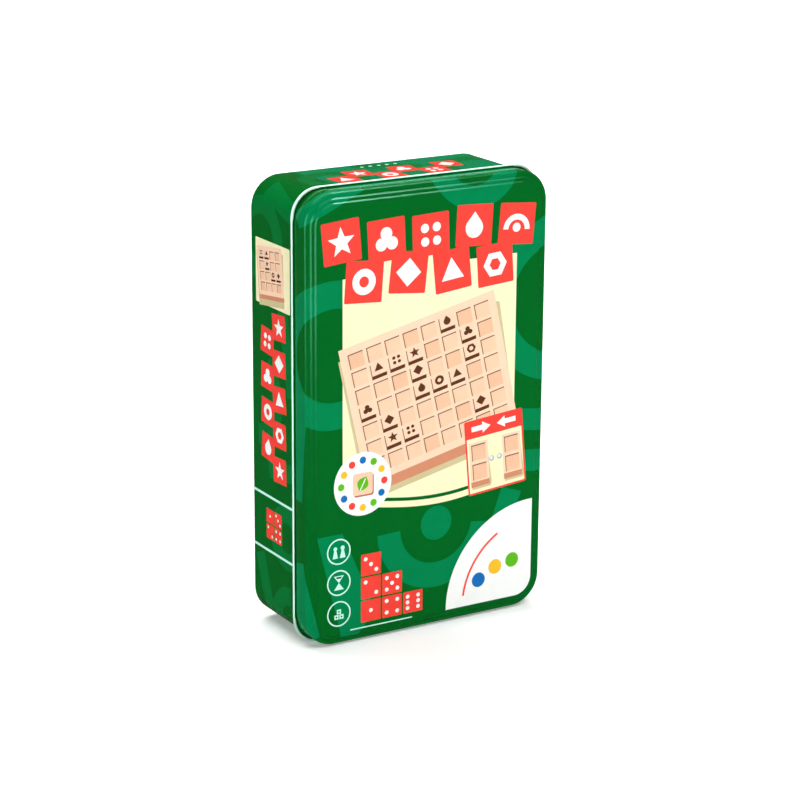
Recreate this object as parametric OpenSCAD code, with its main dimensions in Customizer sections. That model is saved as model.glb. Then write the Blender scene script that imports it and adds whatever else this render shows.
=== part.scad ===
// Travel word tile game case: a pressed slip-lid tin that stands on its short
// end, with the wooden board panels, racks and letter tiles that it carries.
// Every piece is drawn as if the tin lay on its back, base down and lid up,
// and stand() then turns it up on its end.

/* [Tin] */
// Width of the body, outside
case_w = 114; // [114:0.5:122]
// Length of the body, outside, which is its height as it stands
case_l = 190; // [190:1:204]
// Corner radius of the body, outside
corner_r = 13; // [11:0.5:16]
// Thickness of the tinplate
tin_t = 0.3; // [0.25:0.05:0.4]
// From the back of the case to the middle of the lid's curled edge
curl_z = 37; // [36:0.5:40]
// How far the body's neck reaches past the curl, inside the lid
neck_h = 7.5; // [5:0.5:8]

/* [Lid] */
// From the middle of the curl to the border of the lid's face
skirt_h = 9.3; // [8.5:0.1:11]
// Gap all round between the lid's skirt and the body
lid_gap = 0.12; // [0.08:0.02:0.2]
// Radius of the shoulder between the skirt and the face
shoulder_r = 1.2; // [0.8:0.1:1.6]
// Height of each of the two pressed steps on the face
step_h = 0.7; // [0.4:0.05:0.9]
// Thickness of the curled edge
curl_d = 1.3; // [1.1:0.1:1.5]
// How much tighter the curl turns its corners than the skirt does
curl_pull = 2.4; // [1:0.1:3]

/* [Board and tiles] */
// Side of one square of the board, with its share of the ribs
cell = 18; // [17.4:0.1:18]
// Squares across one panel
cells_x = 3; // [2:1:3]
// Squares along one panel
cells_y = 9; // [7:1:9]
// Thickness of a panel
panel_t = 9.5; // [8.5:0.1:9.5]
// Side of the socket that a tile drops into
socket_w = 15.7; // [15.4:0.1:16]
// Depth of the socket
socket_d = 3; // [2:0.1:3.6]
// Side of a letter tile
tile_w = 15.2; // [14.4:0.1:15.2]
// Thickness of a letter tile
tile_t = 4.2; // [3.6:0.1:4.2]
// Tiles in one stack
stack_n = 8; // [4:1:8]
// Length of a tile rack
rack_l = 108; // [100:1:108]
// Depth of a tile rack, front to back
rack_w = 23.4; // [22:0.1:23.4]
// Height of a tile rack
rack_h = 15.5; // [14:0.1:15.5]
// Diameter of the magnets in the panels' edges
magnet_d = 5; // [4:0.1:6]
// Length of the magnets
magnet_l = 3; // [2:0.1:4]

/* [Insert] */
// Thickness of the moulded sheet
sheet = 0.7; // [0.5:0.05:0.8]
// Height of the insert's deck above the back of the case
deck_z = 38; // [38:0.1:39]
// Width of the folded rules leaflet
leaf_w = 92; // [80:1:96]
// Length of the folded rules leaflet
leaf_l = 140; // [120:1:160]
// Thickness of the folded rules leaflet
leaf_t = 1.2; // [0.6:0.1:1.2]

/* [Hidden] */
$fn = 64;

hw = case_w / 2;
hl = case_l / 2;
curl_r = curl_d / 2;
skirt_in = lid_gap;                       // skirt's inside, past the body's outside
skirt_out = lid_gap + tin_t;              // skirt's outside
curl_off = skirt_out + curl_r - 0.2;      // middle of the curl, past the body
curl_out = curl_off + curl_r;             // outermost point of the lid
face_z = curl_z + skirt_h;                // the border of the lid's face
lid_z = face_z + 2 * step_h;              // the raised panel, the frontmost plane
neck_z = curl_z + neck_h;                 // front edge of the body
stand_z = hl + curl_out;                  // middle of the case above the ground

// Insert: it has to pass the body's rolled rim, which reaches 1.2 mm inward
rim_r = 0.6;
tray_hw = hw - 2 * rim_r - 0.3;
tray_hl = hl - 2 * rim_r - 0.3;
floor_z = 2.9;                            // top of the pocket floors
gap = 0.1;                                // between loose pieces
panel_w = cell * cells_x;
panel_l = cell * cells_y;
board_pocket = [-25.7, 0, 55.2, 163.4];   // middle x, middle y, width, length
tile_pocket = [29.25, 56.4, 47.9, 63.5];
rack_pocket = [29.25, -33.45, 47.9, 109.4];
notch_w = 24;
notch_y = 90.4;                           // outer end of a finger notch
notch_z = 14;                             // its floor
tile_gap = 0.4;
stack_p = tile_t + 0.05;

tin_green = [0.0, 0.42, 0.16];
bare_tin = [0.80, 0.83, 0.82];
beech = [0.90, 0.74, 0.56];

// Turns a piece drawn with its back on z = 0 up on its short end
module stand() { translate([0, lid_z / 2, stand_z]) rotate([90, 0, 0]) children(); }

// Rounded rectangle from its half sides
module plate2d(hx, hy, r) {
    square([2 * (hx - r), 2 * hy], center = true);
    square([2 * hx, 2 * (hy - r)], center = true);
    for (sx = [-1, 1], sy = [-1, 1]) translate([sx * (hx - r), sy * (hy - r)]) circle(r);
}

// Runs a profile round a rounded rectangle. The profile's x points outward
// from the line, and its y is the height.
module run_round(hx, hy, r) {
    for (q = [0 : 3]) {
        across = q % 2 == 0 ? hx : hy;
        along = q % 2 == 0 ? hy : hx;
        rotate([0, 0, 90 * q]) {
            translate([across, along - r, 0]) rotate([90, 0, 0])
                linear_extrude(2 * (along - r)) children();
            translate([across - r, along - r, 0])
                rotate_extrude(angle = 90) translate([r, 0]) children();
        }
    }
}

// Straight wall that follows the body's outline
module band(off_in, off_out, z0, z1) {
    translate([0, 0, z0]) linear_extrude(z1 - z0) difference() {
        plate2d(hw + off_out, hl + off_out, corner_r + off_out);
        plate2d(hw + off_in, hl + off_in, corner_r + off_in);
    }
}

// A quarter of a bent sheet: outside radius r, sheet t, from +x round to +y
module bend2d(r, t) {
    intersection() {
        difference() { circle(r); circle(r - t); }
        square(r + 1);
    }
}

// Section of the lid's face from the shoulder to the raised panel
module lid_section() {
    t = tin_t;
    translate([skirt_out - shoulder_r, face_z - shoulder_r]) bend2d(shoulder_r, t);
    x0 = skirt_out - shoulder_r;
    polygon([[x0, face_z], [-1.85, face_z], [-2.5, face_z + step_h],
             [-3.55, face_z + step_h], [-4.2, lid_z], [-5, lid_z],
             [-5, lid_z - t], [-4.4, lid_z - t], [-3.75, face_z + step_h - t],
             [-2.7, face_z + step_h - t], [-2.05, face_z - t], [x0, face_z - t]]);
}

module lid_shell() color(tin_green) stand() {
    band(skirt_in, skirt_out, curl_z - curl_r, face_z - shoulder_r);
    run_round(hw, hl, corner_r) lid_section();
    translate([0, 0, lid_z - tin_t]) linear_extrude(tin_t)
        plate2d(hw - 4.9, hl - 4.9, corner_r - 4.9);
    // The curl stands off the skirt at the corners, on a narrow web
    translate([0, 0, curl_z]) run_round(hw + curl_off, hl + curl_off,
        corner_r + curl_off - curl_pull) circle(curl_r);
    translate([0, 0, curl_z - curl_r]) linear_extrude(tin_t) difference() {
        plate2d(hw + curl_off, hl + curl_off, corner_r + curl_off - curl_pull);
        plate2d(hw + skirt_in, hl + skirt_in, corner_r + skirt_in);
    }
}

module body_wall() color(tin_green) stand() {
    back_r = 0.8;
    band(-tin_t, 0, back_r, neck_z - rim_r);
    // Rounded back edge, turned in under the base plate
    run_round(hw, hl, corner_r) {
        translate([-back_r, back_r]) mirror([0, 1]) bend2d(back_r, tin_t);
        translate([-3, 0]) square([3 - back_r, tin_t]);
    }
    // Rolled rim of the neck
    run_round(hw, hl, corner_r) translate([-rim_r, neck_z - rim_r]) circle(rim_r);
    // Lock seam inside the right wall
    translate([hw - 2 * tin_t, 30, 4]) cube([tin_t + 0.05, 4.5, neck_z - rim_r - 4.5]);
}

module base_plate() color(bare_tin) stand() {
    t = tin_t;
    seat_z = t + 0.45;                    // its edge is bent inside the wall's own bend
    // Rim that stands against the wall, and the step to the raised panel
    run_round(hw, hl, corner_r) union() {
        translate([-2 * t - 0.05, seat_z]) square([t, t + 3 - seat_z]);
        translate([-0.8, seat_z]) mirror([0, 1]) bend2d(seat_z - t, t);
        polygon([[-0.8, t], [-0.8, 2 * t], [-6, 2 * t], [-6.8, 2 * t + 1],
                 [-8, 2 * t + 1], [-8, t + 1], [-7, t + 1], [-6.2, t]]);
    }
    translate([0, 0, t + 1]) linear_extrude(t) plate2d(hw - 7.9, hl - 7.9, corner_r - 7.9);
}

// Thin-walled pocket of the insert, open at the top
module pocket(p, z0) {
    translate([p[0], p[1], 0]) difference() {
        translate([-p[2] / 2 - sheet, -p[3] / 2 - sheet, z0 - sheet])
            cube([p[2] + 2 * sheet, p[3] + 2 * sheet, deck_z - z0 + sheet]);
        translate([-p[2] / 2, -p[3] / 2, z0]) cube([p[2], p[3], deck_z]);
    }
}

module pocket_hole(p, z0) {
    translate([p[0] - p[2] / 2, p[1] - p[3] / 2, z0]) cube([p[2], p[3], deck_z]);
}

module insert_tray() color([0.93, 0.93, 0.91]) stand() {
    nl = notch_y - board_pocket[3] / 2;
    notches = [for (s = [-1, 1]) [board_pocket[0], s * (board_pocket[3] / 2 + nl / 2 - 0.5),
                                  notch_w, nl + 1]];
    difference() {
        union() {
            // Deck with its turned-down skirt
            translate([0, 0, deck_z - sheet]) linear_extrude(sheet)
                plate2d(tray_hw, tray_hl, corner_r - 1.5);
            translate([0, 0, 12]) linear_extrude(deck_z - 12) difference() {
                plate2d(tray_hw, tray_hl, corner_r - 1.5);
                plate2d(tray_hw - sheet, tray_hl - sheet, corner_r - 1.5 - sheet);
            }
            // The pockets' corners stay within the skirt
            intersection() {
                union() {
                    pocket(board_pocket, floor_z);
                    pocket(tile_pocket, floor_z);
                    pocket(rack_pocket, floor_z);
                    for (n = notches) pocket(n, notch_z);
                }
                linear_extrude(deck_z) plate2d(tray_hw, tray_hl, corner_r - 1.5);
            }
        }
        pocket_hole(board_pocket, floor_z);
        pocket_hole(tile_pocket, floor_z);
        pocket_hole(rack_pocket, floor_z);
        for (n = notches) pocket_hole(n, notch_z);
    }
}

module rules_leaflet() color([0.95, 0.94, 0.90]) stand() {
    // Two sheets folded together, so the fold on the long side is round
    t = leaf_t;
    translate([0, 0, deck_z + gap]) {
        translate([-leaf_w / 2 + t / 2, -leaf_l / 2, 0]) cube([leaf_w - t / 2, leaf_l, t]);
        translate([-leaf_w / 2 + t / 2, leaf_l / 2, t / 2]) rotate([90, 0, 0])
            cylinder(d = t, h = leaf_l);
    }
}

// Where the magnets sit along a panel's long edge
magnet_y = [-panel_l / 2 + 1.5 * cell, 0, panel_l / 2 - 1.5 * cell];

module panel(level, sides) {
    z0 = floor_z + gap + level * (panel_t + gap);
    translate([board_pocket[0], 0, z0]) difference() {
        translate([-panel_w / 2, -panel_l / 2, 0]) cube([panel_w, panel_l, panel_t]);
        for (i = [0 : cells_x - 1], j = [0 : cells_y - 1])
            translate([-panel_w / 2 + (i + 0.5) * cell - socket_w / 2,
                       -panel_l / 2 + (j + 0.5) * cell - socket_w / 2, panel_t - socket_d])
                cube([socket_w, socket_w, socket_d + 1]);
        for (s = sides, y = magnet_y)
            translate([s * (panel_w / 2 + 0.5), y, (panel_t - socket_d) / 2])
                rotate([0, -s * 90, 0]) cylinder(d = magnet_d + 0.1, h = magnet_l + 0.6);
    }
}

module magnet_set(level, side) {
    z0 = floor_z + gap + level * (panel_t + gap);
    for (y = magnet_y)
        translate([board_pocket[0] + side * panel_w / 2, y, z0 + (panel_t - socket_d) / 2])
            rotate([0, -side * 90, 0]) cylinder(d = magnet_d, h = magnet_l);
}

module board_panel_left() color(beech) stand() panel(2, [1]);
module board_panel_middle() color(beech) stand() panel(1, [-1, 1]);
module board_panel_right() color(beech) stand() panel(0, [-1]);
module magnets_left() color("silver") stand() magnet_set(2, 1);
module magnets_middle_a() color("silver") stand() magnet_set(1, -1);
module magnets_middle_b() color("silver") stand() magnet_set(1, 1);
module magnets_right() color("silver") stand() magnet_set(0, -1);

// Wooden rack: a ledge and a sloping back that seven tiles lean on
module rack(place) {
    col = place % 2;
    row = floor(place / 2);
    h = rack_h;
    w = rack_w;
    translate([rack_pocket[0] + (col == 0 ? -1 : 1) * (w / 2 + 0.15),
               rack_pocket[1] + rack_l / 2, floor_z + gap + row * (h + gap)])
        rotate([90, 0, 0]) linear_extrude(rack_l) translate([-w / 2, 0])
            polygon([[0, 0], [w, 0], [w, h], [w - 3, h], [8, 4.8], [4.6, 8.7],
                     [2.2, 8.7], [0, 6.5]]);
}

module tile_rack_1() color(beech) stand() rack(0);
module tile_rack_2() color(beech) stand() rack(1);
module tile_rack_3() color(beech) stand() rack(2);
module tile_rack_4() color(beech) stand() rack(3);

// One stack of letter tiles, each tile a block of its own
module stack(row, col) {
    p = tile_w + tile_gap;
    for (k = [0 : stack_n - 1])
        translate([tile_pocket[0] + (col - 1) * p - tile_w / 2,
                   tile_pocket[1] + (1.5 - row) * p - tile_w / 2,
                   floor_z + gap + k * stack_p])
            cube([tile_w, tile_w, tile_t]);
}

module tiles_1a() color(beech) stand() stack(0, 0);
module tiles_1b() color(beech) stand() stack(0, 1);
module tiles_1c() color(beech) stand() stack(0, 2);
module tiles_2a() color(beech) stand() stack(1, 0);
module tiles_2b() color(beech) stand() stack(1, 1);
module tiles_2c() color(beech) stand() stack(1, 2);
module tiles_3a() color(beech) stand() stack(2, 0);
module tiles_3b() color(beech) stand() stack(2, 1);
module tiles_3c() color(beech) stand() stack(2, 2);
module tiles_4a() color(beech) stand() stack(3, 0);
module tiles_4b() color(beech) stand() stack(3, 1);
module tiles_4c() color(beech) stand() stack(3, 2);

lid_shell();
body_wall();
base_plate();
insert_tray();
rules_leaflet();
board_panel_left();
board_panel_middle();
board_panel_right();
magnets_left();
magnets_middle_a();
magnets_middle_b();
magnets_right();
tile_rack_1();
tile_rack_2();
tile_rack_3();
tile_rack_4();
tiles_1a();
tiles_1b();
tiles_1c();
tiles_2a();
tiles_2b();
tiles_2c();
tiles_3a();
tiles_3b();
tiles_3c();
tiles_4a();
tiles_4b();
tiles_4c();
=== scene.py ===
"""Looks of the travel word tile game case: a lacquered slip-lid tin on its short
end, with the moulded insert, board panels, racks and tiles that it holds."""
import math
import random

import bpy
import numpy as np
from mathutils import Matrix, Vector
from mathutils.geometry import delaunay_2d_cdt


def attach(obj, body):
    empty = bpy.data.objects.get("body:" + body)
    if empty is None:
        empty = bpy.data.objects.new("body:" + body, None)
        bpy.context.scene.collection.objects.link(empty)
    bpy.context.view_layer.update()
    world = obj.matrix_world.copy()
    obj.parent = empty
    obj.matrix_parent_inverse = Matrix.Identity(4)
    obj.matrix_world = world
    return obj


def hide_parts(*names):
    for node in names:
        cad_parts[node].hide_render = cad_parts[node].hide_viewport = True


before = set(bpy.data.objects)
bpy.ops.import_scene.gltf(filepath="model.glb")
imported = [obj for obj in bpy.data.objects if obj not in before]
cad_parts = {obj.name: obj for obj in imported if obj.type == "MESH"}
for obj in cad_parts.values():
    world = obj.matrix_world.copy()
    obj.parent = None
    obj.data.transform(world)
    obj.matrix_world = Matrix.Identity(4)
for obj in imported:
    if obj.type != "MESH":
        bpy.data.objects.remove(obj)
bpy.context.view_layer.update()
scene = bpy.context.scene
PI = math.pi

# ---------------------------------------------------------------- sizes, mm
# The tin is worked out lying on its back: x across, y along, z up from the
# back. row() then stands it on its short end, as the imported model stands.
HW, HL, CR = 57.0, 95.0, 13.0
T = 0.3
CURL_Z, CURL_R, CURL_O = 37.0, 0.65, 0.87
FACE_Z, STEP, LID_Z = 46.3, 0.7, 47.7
SK_IN, SK_OUT = 0.12, 0.42
CORE = 5.0                      # the core line runs this far inside the outline
CX, CY = HW - CR, HL - CR       # corner centres
MID_Z, STAND = LID_Z / 2, HL + CURL_O + CURL_R


def row(p):
    """Lying-down millimetres to the row frame in metres."""
    p = np.asarray(p, float)
    return np.stack([p[..., 0], MID_Z - p[..., 2], p[..., 1] + STAND], -1) * 1e-3


def turn(n):
    n = np.asarray(n, float)
    return np.stack([n[..., 0], -n[..., 2], n[..., 1]], -1)


def lin(c):
    """sRGB 0-255 to linear."""
    c = np.asarray(c, float) / 255.0
    return np.where(c <= 0.04045, c / 12.92, ((c + 0.055) / 1.055) ** 2.4)


# ------------------------------------------------------------ mesh building
class Build:
    """Collects faces with their own corner normals, slot, print colour and
    bake coordinates, then makes one mesh object of them."""

    def __init__(self):
        self.v, self.nv = [], 0
        self.f, self.n, self.m, self.c, self.u = [], [], [], [], []

    def verts(self, p):
        p = np.asarray(p, float).reshape(-1, 3)
        self.v.append(p)
        self.nv += len(p)
        return np.arange(self.nv - len(p), self.nv)

    def faces(self, idx, normals, mat=0, col=None, uv=None):
        """idx (m,k); normals (m,k,3) or None for flat; uv (m,k,2)."""
        idx = np.asarray(idx, int)
        m, k = idx.shape
        nor = [None] * m if normals is None else np.asarray(normals, float)
        mats = np.broadcast_to(np.asarray(mat, int), (m,))
        cols = np.zeros((m, 3)) if col is None else np.broadcast_to(np.asarray(col, float), (m, 3))
        uvs = np.zeros((m, k, 2)) if uv is None else np.asarray(uv, float)
        self.f += idx.tolist()
        self.n += list(nor)
        self.m += mats.tolist()
        self.c += list(cols)
        self.u += list(uvs)

    def object(self, name, materials, uv=False, col=True):
        V = np.concatenate(self.v)
        inv = np.arange(len(V))
        for off in (0.0, 0.5):              # two grids, so that no pair falls across a cell's edge
            key = np.round(V / 2e-4 + off).astype(np.int64)
            _, first, step = np.unique(key, axis=0, return_index=True, return_inverse=True)
            inv = step.reshape(-1)[inv]
            V = V[first]
        F, N, M, C, U = [], [], [], [], []
        seen = set()
        for f, n, m, c, u in zip(self.f, self.n, self.m, self.c, self.u):
            g = [int(inv[i]) for i in f]
            keep = [i for i in range(len(g)) if g[i] != g[i - 1]]
            if len(keep) < 3:
                continue
            g2 = [g[i] for i in keep]
            if len(set(g2)) != len(g2):
                continue
            if n is not None:                       # winding follows the given normals
                a = V[g2[0]]
                p = V[g2[1]] - a
                q = V[g2[3 if len(g2) == 4 else len(g2) // 2 if len(g2) > 4 else 2]] - a
                gx = p[1] * q[2] - p[2] * q[1]
                gy = p[2] * q[0] - p[0] * q[2]
                gz = p[0] * q[1] - p[1] * q[0]
                w = n[keep[0]]
                w2 = n[keep[2]]
                if gx * (w[0] + w2[0]) + gy * (w[1] + w2[1]) + gz * (w[2] + w2[2]) < 0:
                    keep, g2 = keep[::-1], g2[::-1]
            tag = tuple(sorted(g2))
            if tag in seen:
                continue
            seen.add(tag)
            F.append(g2)
            N.append(None if n is None else [n[i] for i in keep])
            M.append(m)
            C.append(c)
            U.append([u[i] for i in keep])
        used = np.zeros(len(V), bool)
        for g in F:
            used[g] = True
        renum = np.cumsum(used) - 1
        V = V[used]
        F = [[int(renum[i]) for i in g] for g in F]
        me = bpy.data.meshes.new(name)
        me.from_pydata(row(V).tolist(), [], F)
        for mt in materials:
            me.materials.append(mt)
        me.polygons.foreach_set("material_index", np.array(M, np.int32))
        me.polygons.foreach_set("use_smooth", np.ones(len(F), bool))
        if col:
            a = me.color_attributes.new("print", "FLOAT_COLOR", "CORNER")
            flat = np.concatenate([np.repeat(np.append(c, 1.0)[None, :], len(g), 0) for c, g in zip(C, F)])
            a.data.foreach_set("color", flat.astype(np.float32).ravel())
        if uv:
            layer = me.uv_layers.new(name="OFBake")
            flat = np.array([q for u in U for q in u], np.float32)
            layer.data.foreach_set("uv", flat.ravel())
        me.update()
        if any(n is not None for n in N):
            normals, Vr = [], row(V)
            for g, n in zip(F, N):
                if n is None:
                    a, b, c = Vr[g[0]], Vr[g[1]], Vr[g[2]]
                    q = np.cross(b - a, c - a)
                    for i in range(3, len(g)):
                        q = q + np.cross(Vr[g[i - 1]] - a, Vr[g[i]] - a)
                    q = q / max(np.linalg.norm(q), 1e-20)
                    normals += [q.tolist()] * len(g)
                else:
                    normals += turn(np.array(n)).tolist()
            me.normals_split_custom_set(normals)
        ob = bpy.data.objects.new(name, me)
        scene.collection.objects.link(ob)
        return ob


# ------------------------------------------- stations round the tin's outline
SEG = 24


def stations():
    """Points on the core line and their outward directions, going round
    counterclockwise from the middle of the right side."""
    pts, nor = [], []
    for q, (sx, sy) in enumerate(((1, 1), (-1, 1), (-1, -1), (1, -1))):
        for i in range(SEG + 1):
            a = q * PI / 2 + i * PI / 2 / SEG
            n = (math.cos(a), math.sin(a))
            pts.append((sx * CX + (CR - CORE) * n[0], sy * CY + (CR - CORE) * n[1]))
            nor.append(n)
    return np.array(pts), np.array(nor)


ST_P, ST_N = stations()


def outline(off, seg=SEG):
    """Rounded rectangle that runs off outside the body's outline."""
    r, pts = CR + off, []
    for q, (sx, sy) in enumerate(((1, 1), (-1, 1), (-1, -1), (1, -1))):
        for i in range(seg + 1):
            a = q * PI / 2 + i * PI / 2 / seg
            pts.append((sx * CX + r * math.cos(a), sy * CY + r * math.sin(a)))
    return pts


def curl_shift(n):
    """How much further out the lid's curl runs than on the straight sides:
    it turns its corners tighter than the skirt does."""
    pull = 2.4
    c, s = abs(n[..., 0]), abs(n[..., 1])
    R = CR + CURL_O
    rc = R - pull
    # straight part that runs on past the skirt's own corner start
    with np.errstate(divide="ignore"):
        flat = np.where(c > s, R / np.maximum(c, 1e-9), R / np.maximum(s, 1e-9))
    b = pull * (c + s)
    arc = b + np.sqrt(np.maximum(rc * rc - 2 * pull * pull + b * b, 0))
    lim = np.where(c > s, s / np.maximum(c, 1e-9), c / np.maximum(s, 1e-9))
    rho = np.where(lim * R <= pull, flat, arc)
    return rho - R


# -------------------------------------------------------------- flat pattern
def loop_area(p):
    p = np.asarray(p)
    x, y = p[:, 0], p[:, 1]
    return 0.5 * np.sum(x * np.roll(y, -1) - y * np.roll(x, -1))


def inside(pts, loops):
    """Even-odd test of points against closed loops."""
    res = np.zeros(len(pts), bool)
    x, y = pts[:, 0], pts[:, 1]
    for lp in loops:
        lp = np.asarray(lp, float)
        x0, y0 = lp[:, 0], lp[:, 1]
        x1, y1 = np.roll(x0, -1), np.roll(y0, -1)
        for a, b, c, d in zip(x0, y0, x1, y1):
            if b == d:
                continue
            hit = ((b > y) != (d > y)) & (x < (c - a) * (y - b) / (d - b) + a)
            res ^= hit
    return res


def tessellate(loops, lines=(), eps=1e-5):
    """Triangles of the plane inside the convex outer loop (the first one),
    with every loop and line as an edge. Returns points and triangles."""
    pts, edges = [], []
    for k, lp in enumerate(list(loops) + list(lines)):
        lp = [(float(a), float(b)) for a, b in lp]
        base = len(pts)
        pts += lp
        n = len(lp)
        edges += [(base + i, base + i + 1) for i in range(n - 1)]
        if k < len(loops):
            edges.append((base + n - 1, base))
    out = delaunay_2d_cdt([Vector(p) for p in pts], edges, [], 0, eps, True)
    P = np.array([pts[src[0]] if src else tuple(v) for v, src in zip(out[0], out[3])])
    F = []
    for f in out[2]:
        f = list(f)
        for i in range(1, len(f) - 1):
            F.append((f[0], f[i], f[i + 1]))
    F = np.array(F)
    a, b, c = P[F[:, 0]], P[F[:, 1]], P[F[:, 2]]
    area = (b[:, 0] - a[:, 0]) * (c[:, 1] - a[:, 1]) - (b[:, 1] - a[:, 1]) * (c[:, 0] - a[:, 0])
    F[area < 0] = F[area < 0][:, ::-1]
    F = F[np.abs(area) > 1e-9]
    return P, F


def paint(P, F, shapes, base):
    """Colour of each triangle, the last shape on top. A shape is (ink, loops)."""
    cen = (P[F[:, 0]] + P[F[:, 1]] + P[F[:, 2]]) / 3
    col = np.tile(np.asarray(base, float), (len(F), 1))
    for shape in shapes:
        ink, loops = shape[:2]
        allp = np.concatenate([np.asarray(l, float) for l in loops])
        lo, hi = allp.min(0), allp.max(0)
        sel = np.where(((cen >= lo) & (cen <= hi)).all(1))[0]
        if len(sel):
            hit = inside(cen[sel], loops)
            if len(shape) > 2:
                hit &= inside(cen[sel], shape[2])
            col[sel[hit]] = ink
    return col


# ----------------------------------------------------------- pressed profiles
def fillet_path(pts, rad, seg=5):
    """Polyline corners rounded: list of (o, z, no, nz), the normal to the left
    of travel turned right, so that it points outward from the sheet."""
    pts = [np.array(p, float) for p in pts]
    out = []

    def nrm(d):
        return np.array([d[1], -d[0]]) * -1.0

    for i, p in enumerate(pts):
        if i == 0 or i == len(pts) - 1:
            d = pts[1] - pts[0] if i == 0 else pts[-1] - pts[-2]
            d = d / np.linalg.norm(d)
            n = nrm(d)
            out.append((p[0], p[1], n[0], n[1]))
            continue
        a, b = p - pts[i - 1], pts[i + 1] - p
        la, lb = np.linalg.norm(a), np.linalg.norm(b)
        a, b = a / la, b / lb
        ang = math.acos(max(-1, min(1, float(a @ b))))
        if ang < 1e-4:
            continue
        t = min(rad * math.tan(ang / 2), 0.49 * la, 0.49 * lb)
        r = t / math.tan(ang / 2)
        n0, n1 = nrm(a), nrm(b)
        turn_s = np.sign(a[0] * b[1] - a[1] * b[0])
        start = p - a * t
        cen = start + np.array([-a[1], a[0]]) * r * turn_s
        for k in range(seg + 1):
            q = turn_s * ang * k / seg
            c, s = math.cos(q), math.sin(q)
            v = start - cen
            w = np.array([c * v[0] - s * v[1], s * v[0] + c * v[1]])
            n = np.array([c * n0[0] - s * n0[1], s * n0[0] + c * n0[1]])
            out.append((cen[0] + w[0], cen[1] + w[1], n[0], n[1]))
    return out


def arc_len(prof):
    p = np.array([(q[0], q[1]) for q in prof])
    return np.concatenate([[0], np.cumsum(np.linalg.norm(np.diff(p, axis=0), axis=1))])


def lid_profile():
    """The lid's outside from the raised panel outward and down the skirt."""
    r = 1.2
    steps = fillet_path([(-CORE, LID_Z), (-4.2, LID_Z), (-3.55, LID_Z - STEP), (-2.5, LID_Z - STEP),
                         (-1.85, FACE_Z), (SK_OUT - r, FACE_Z)], 0.5, 5)
    for k in range(1, 10):
        a = PI / 2 * (1 - k / 9)
        steps.append((SK_OUT - r + r * math.cos(a), FACE_Z - r + r * math.sin(a), math.cos(a), math.sin(a)))
    for z in (43.0, 41.0, 39.0, 38.2):
        steps.append((SK_OUT, z, 1.0, 0.0))
    return steps


class Sheet:
    """Maps the flat pattern, laid out from the core line outward along a
    profile, onto the pressed shape."""

    def __init__(self, prof):
        self.prof = np.array(prof, float)
        self.d = arc_len(prof)

    def at(self, d):
        p = self.prof
        return [np.interp(d, self.d, p[:, k]) for k in range(4)]

    def lift(self, P):
        ax, ay = np.abs(P[:, 0]), np.abs(P[:, 1])
        sx, sy = np.where(P[:, 0] < 0, -1, 1), np.where(P[:, 1] < 0, -1, 1)
        vx, vy = np.maximum(ax - CX, 0), np.maximum(ay - CY, 0)
        rr = np.hypot(vx, vy)
        cr = CR - CORE
        dist = rr - cr
        with np.errstate(invalid="ignore", divide="ignore"):
            nx, ny = np.where(rr > 1e-9, vx / rr, 0), np.where(rr > 1e-9, vy / rr, 0)
        o, z, no, nz = self.at(np.maximum(dist, 0))
        rad = np.where(dist > 0, cr + CORE + o, rr)
        X = (np.minimum(ax, CX) + nx * rad) * sx
        Y = (np.minimum(ay, CY) + ny * rad) * sy
        pos = np.stack([X, Y, z], -1)
        nor = np.stack([nx * sx * no, ny * sy * no, nz], -1)
        flat = dist <= 0
        nor[flat] = (0, 0, 1)
        nor /= np.linalg.norm(nor, axis=1)[:, None]
        return pos, nor

    def flat_ring(self, d, seg=SEG):
        """The pattern's line at distance d outside the core line."""
        return outline(d - CORE, seg)


def sweep(B, base, nrm, sections, shift=None, closed=True, uv=None, ink=None):
    """Runs sections of rings round the stations. base and nrm are the core
    points and outward directions. A section is a list of (o, z, no, nz, w),
    where w is the share of shift that the ring takes, or a function of the
    shift that gives such a ring for each station; with its slot."""
    n = len(base)
    sh = np.zeros(n) if shift is None else shift
    step = np.linalg.norm(np.diff(np.concatenate([base + nrm * CORE, (base + nrm * CORE)[:1]]), axis=0), axis=1)
    along = np.concatenate([[0], np.cumsum(step)])
    run = 0.0
    prev_end = None
    for rings, mat in sections:
        P, Nn = [], []
        for r in rings:
            if callable(r):
                o, z, no, nz = r(sh)
            else:
                o, z, no, nz = [np.full(n, q) for q in r[:4]]
                if len(r) > 4:
                    o = o + r[4] * sh
            pos = np.stack([base[:, 0] + nrm[:, 0] * (o + CORE), base[:, 1] + nrm[:, 1] * (o + CORE), z], -1)
            P.append(pos)
            Nn.append(np.stack([nrm[:, 0] * no, nrm[:, 1] * no, nz], -1))
        P, Nn = np.array(P), np.array(Nn)
        m = len(rings)
        ids = B.verts(P.reshape(-1, 3)).reshape(m, n)
        acc = run + np.concatenate([[0], np.cumsum(np.linalg.norm(np.diff(P, axis=0), axis=2).mean(1))])
        run = acc[-1]
        i = np.arange(n if closed else n - 1)
        j = (i + 1) % n
        for k in range(m - 1):
            idx = np.stack([ids[k, i], ids[k, j], ids[k + 1, j], ids[k + 1, i]], -1)
            nor = np.stack([Nn[k, i], Nn[k, j], Nn[k + 1, j], Nn[k + 1, i]], 1)
            if uv is not None:
                u0, u1 = along[i], along[i + 1]
                a, b = np.full(len(i), acc[k]), np.full(len(i), acc[k + 1])
                U = np.stack([np.stack([u0, a], -1), np.stack([u1, a], -1),
                              np.stack([u1, b], -1), np.stack([u0, b], -1)], 1)
                U = uv(U)
            else:
                U = None
            B.faces(idx, nor, mat, ink if mat == 0 else None, U)
    return P[-1], ids[-1]


def offset_profile(prof, t):
    """The sheet's other side: the same profile moved t against its normal,
    with the normal turned round."""
    return [(o - t * no, z - t * nz, -no, -nz) for o, z, no, nz in prof]


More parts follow.
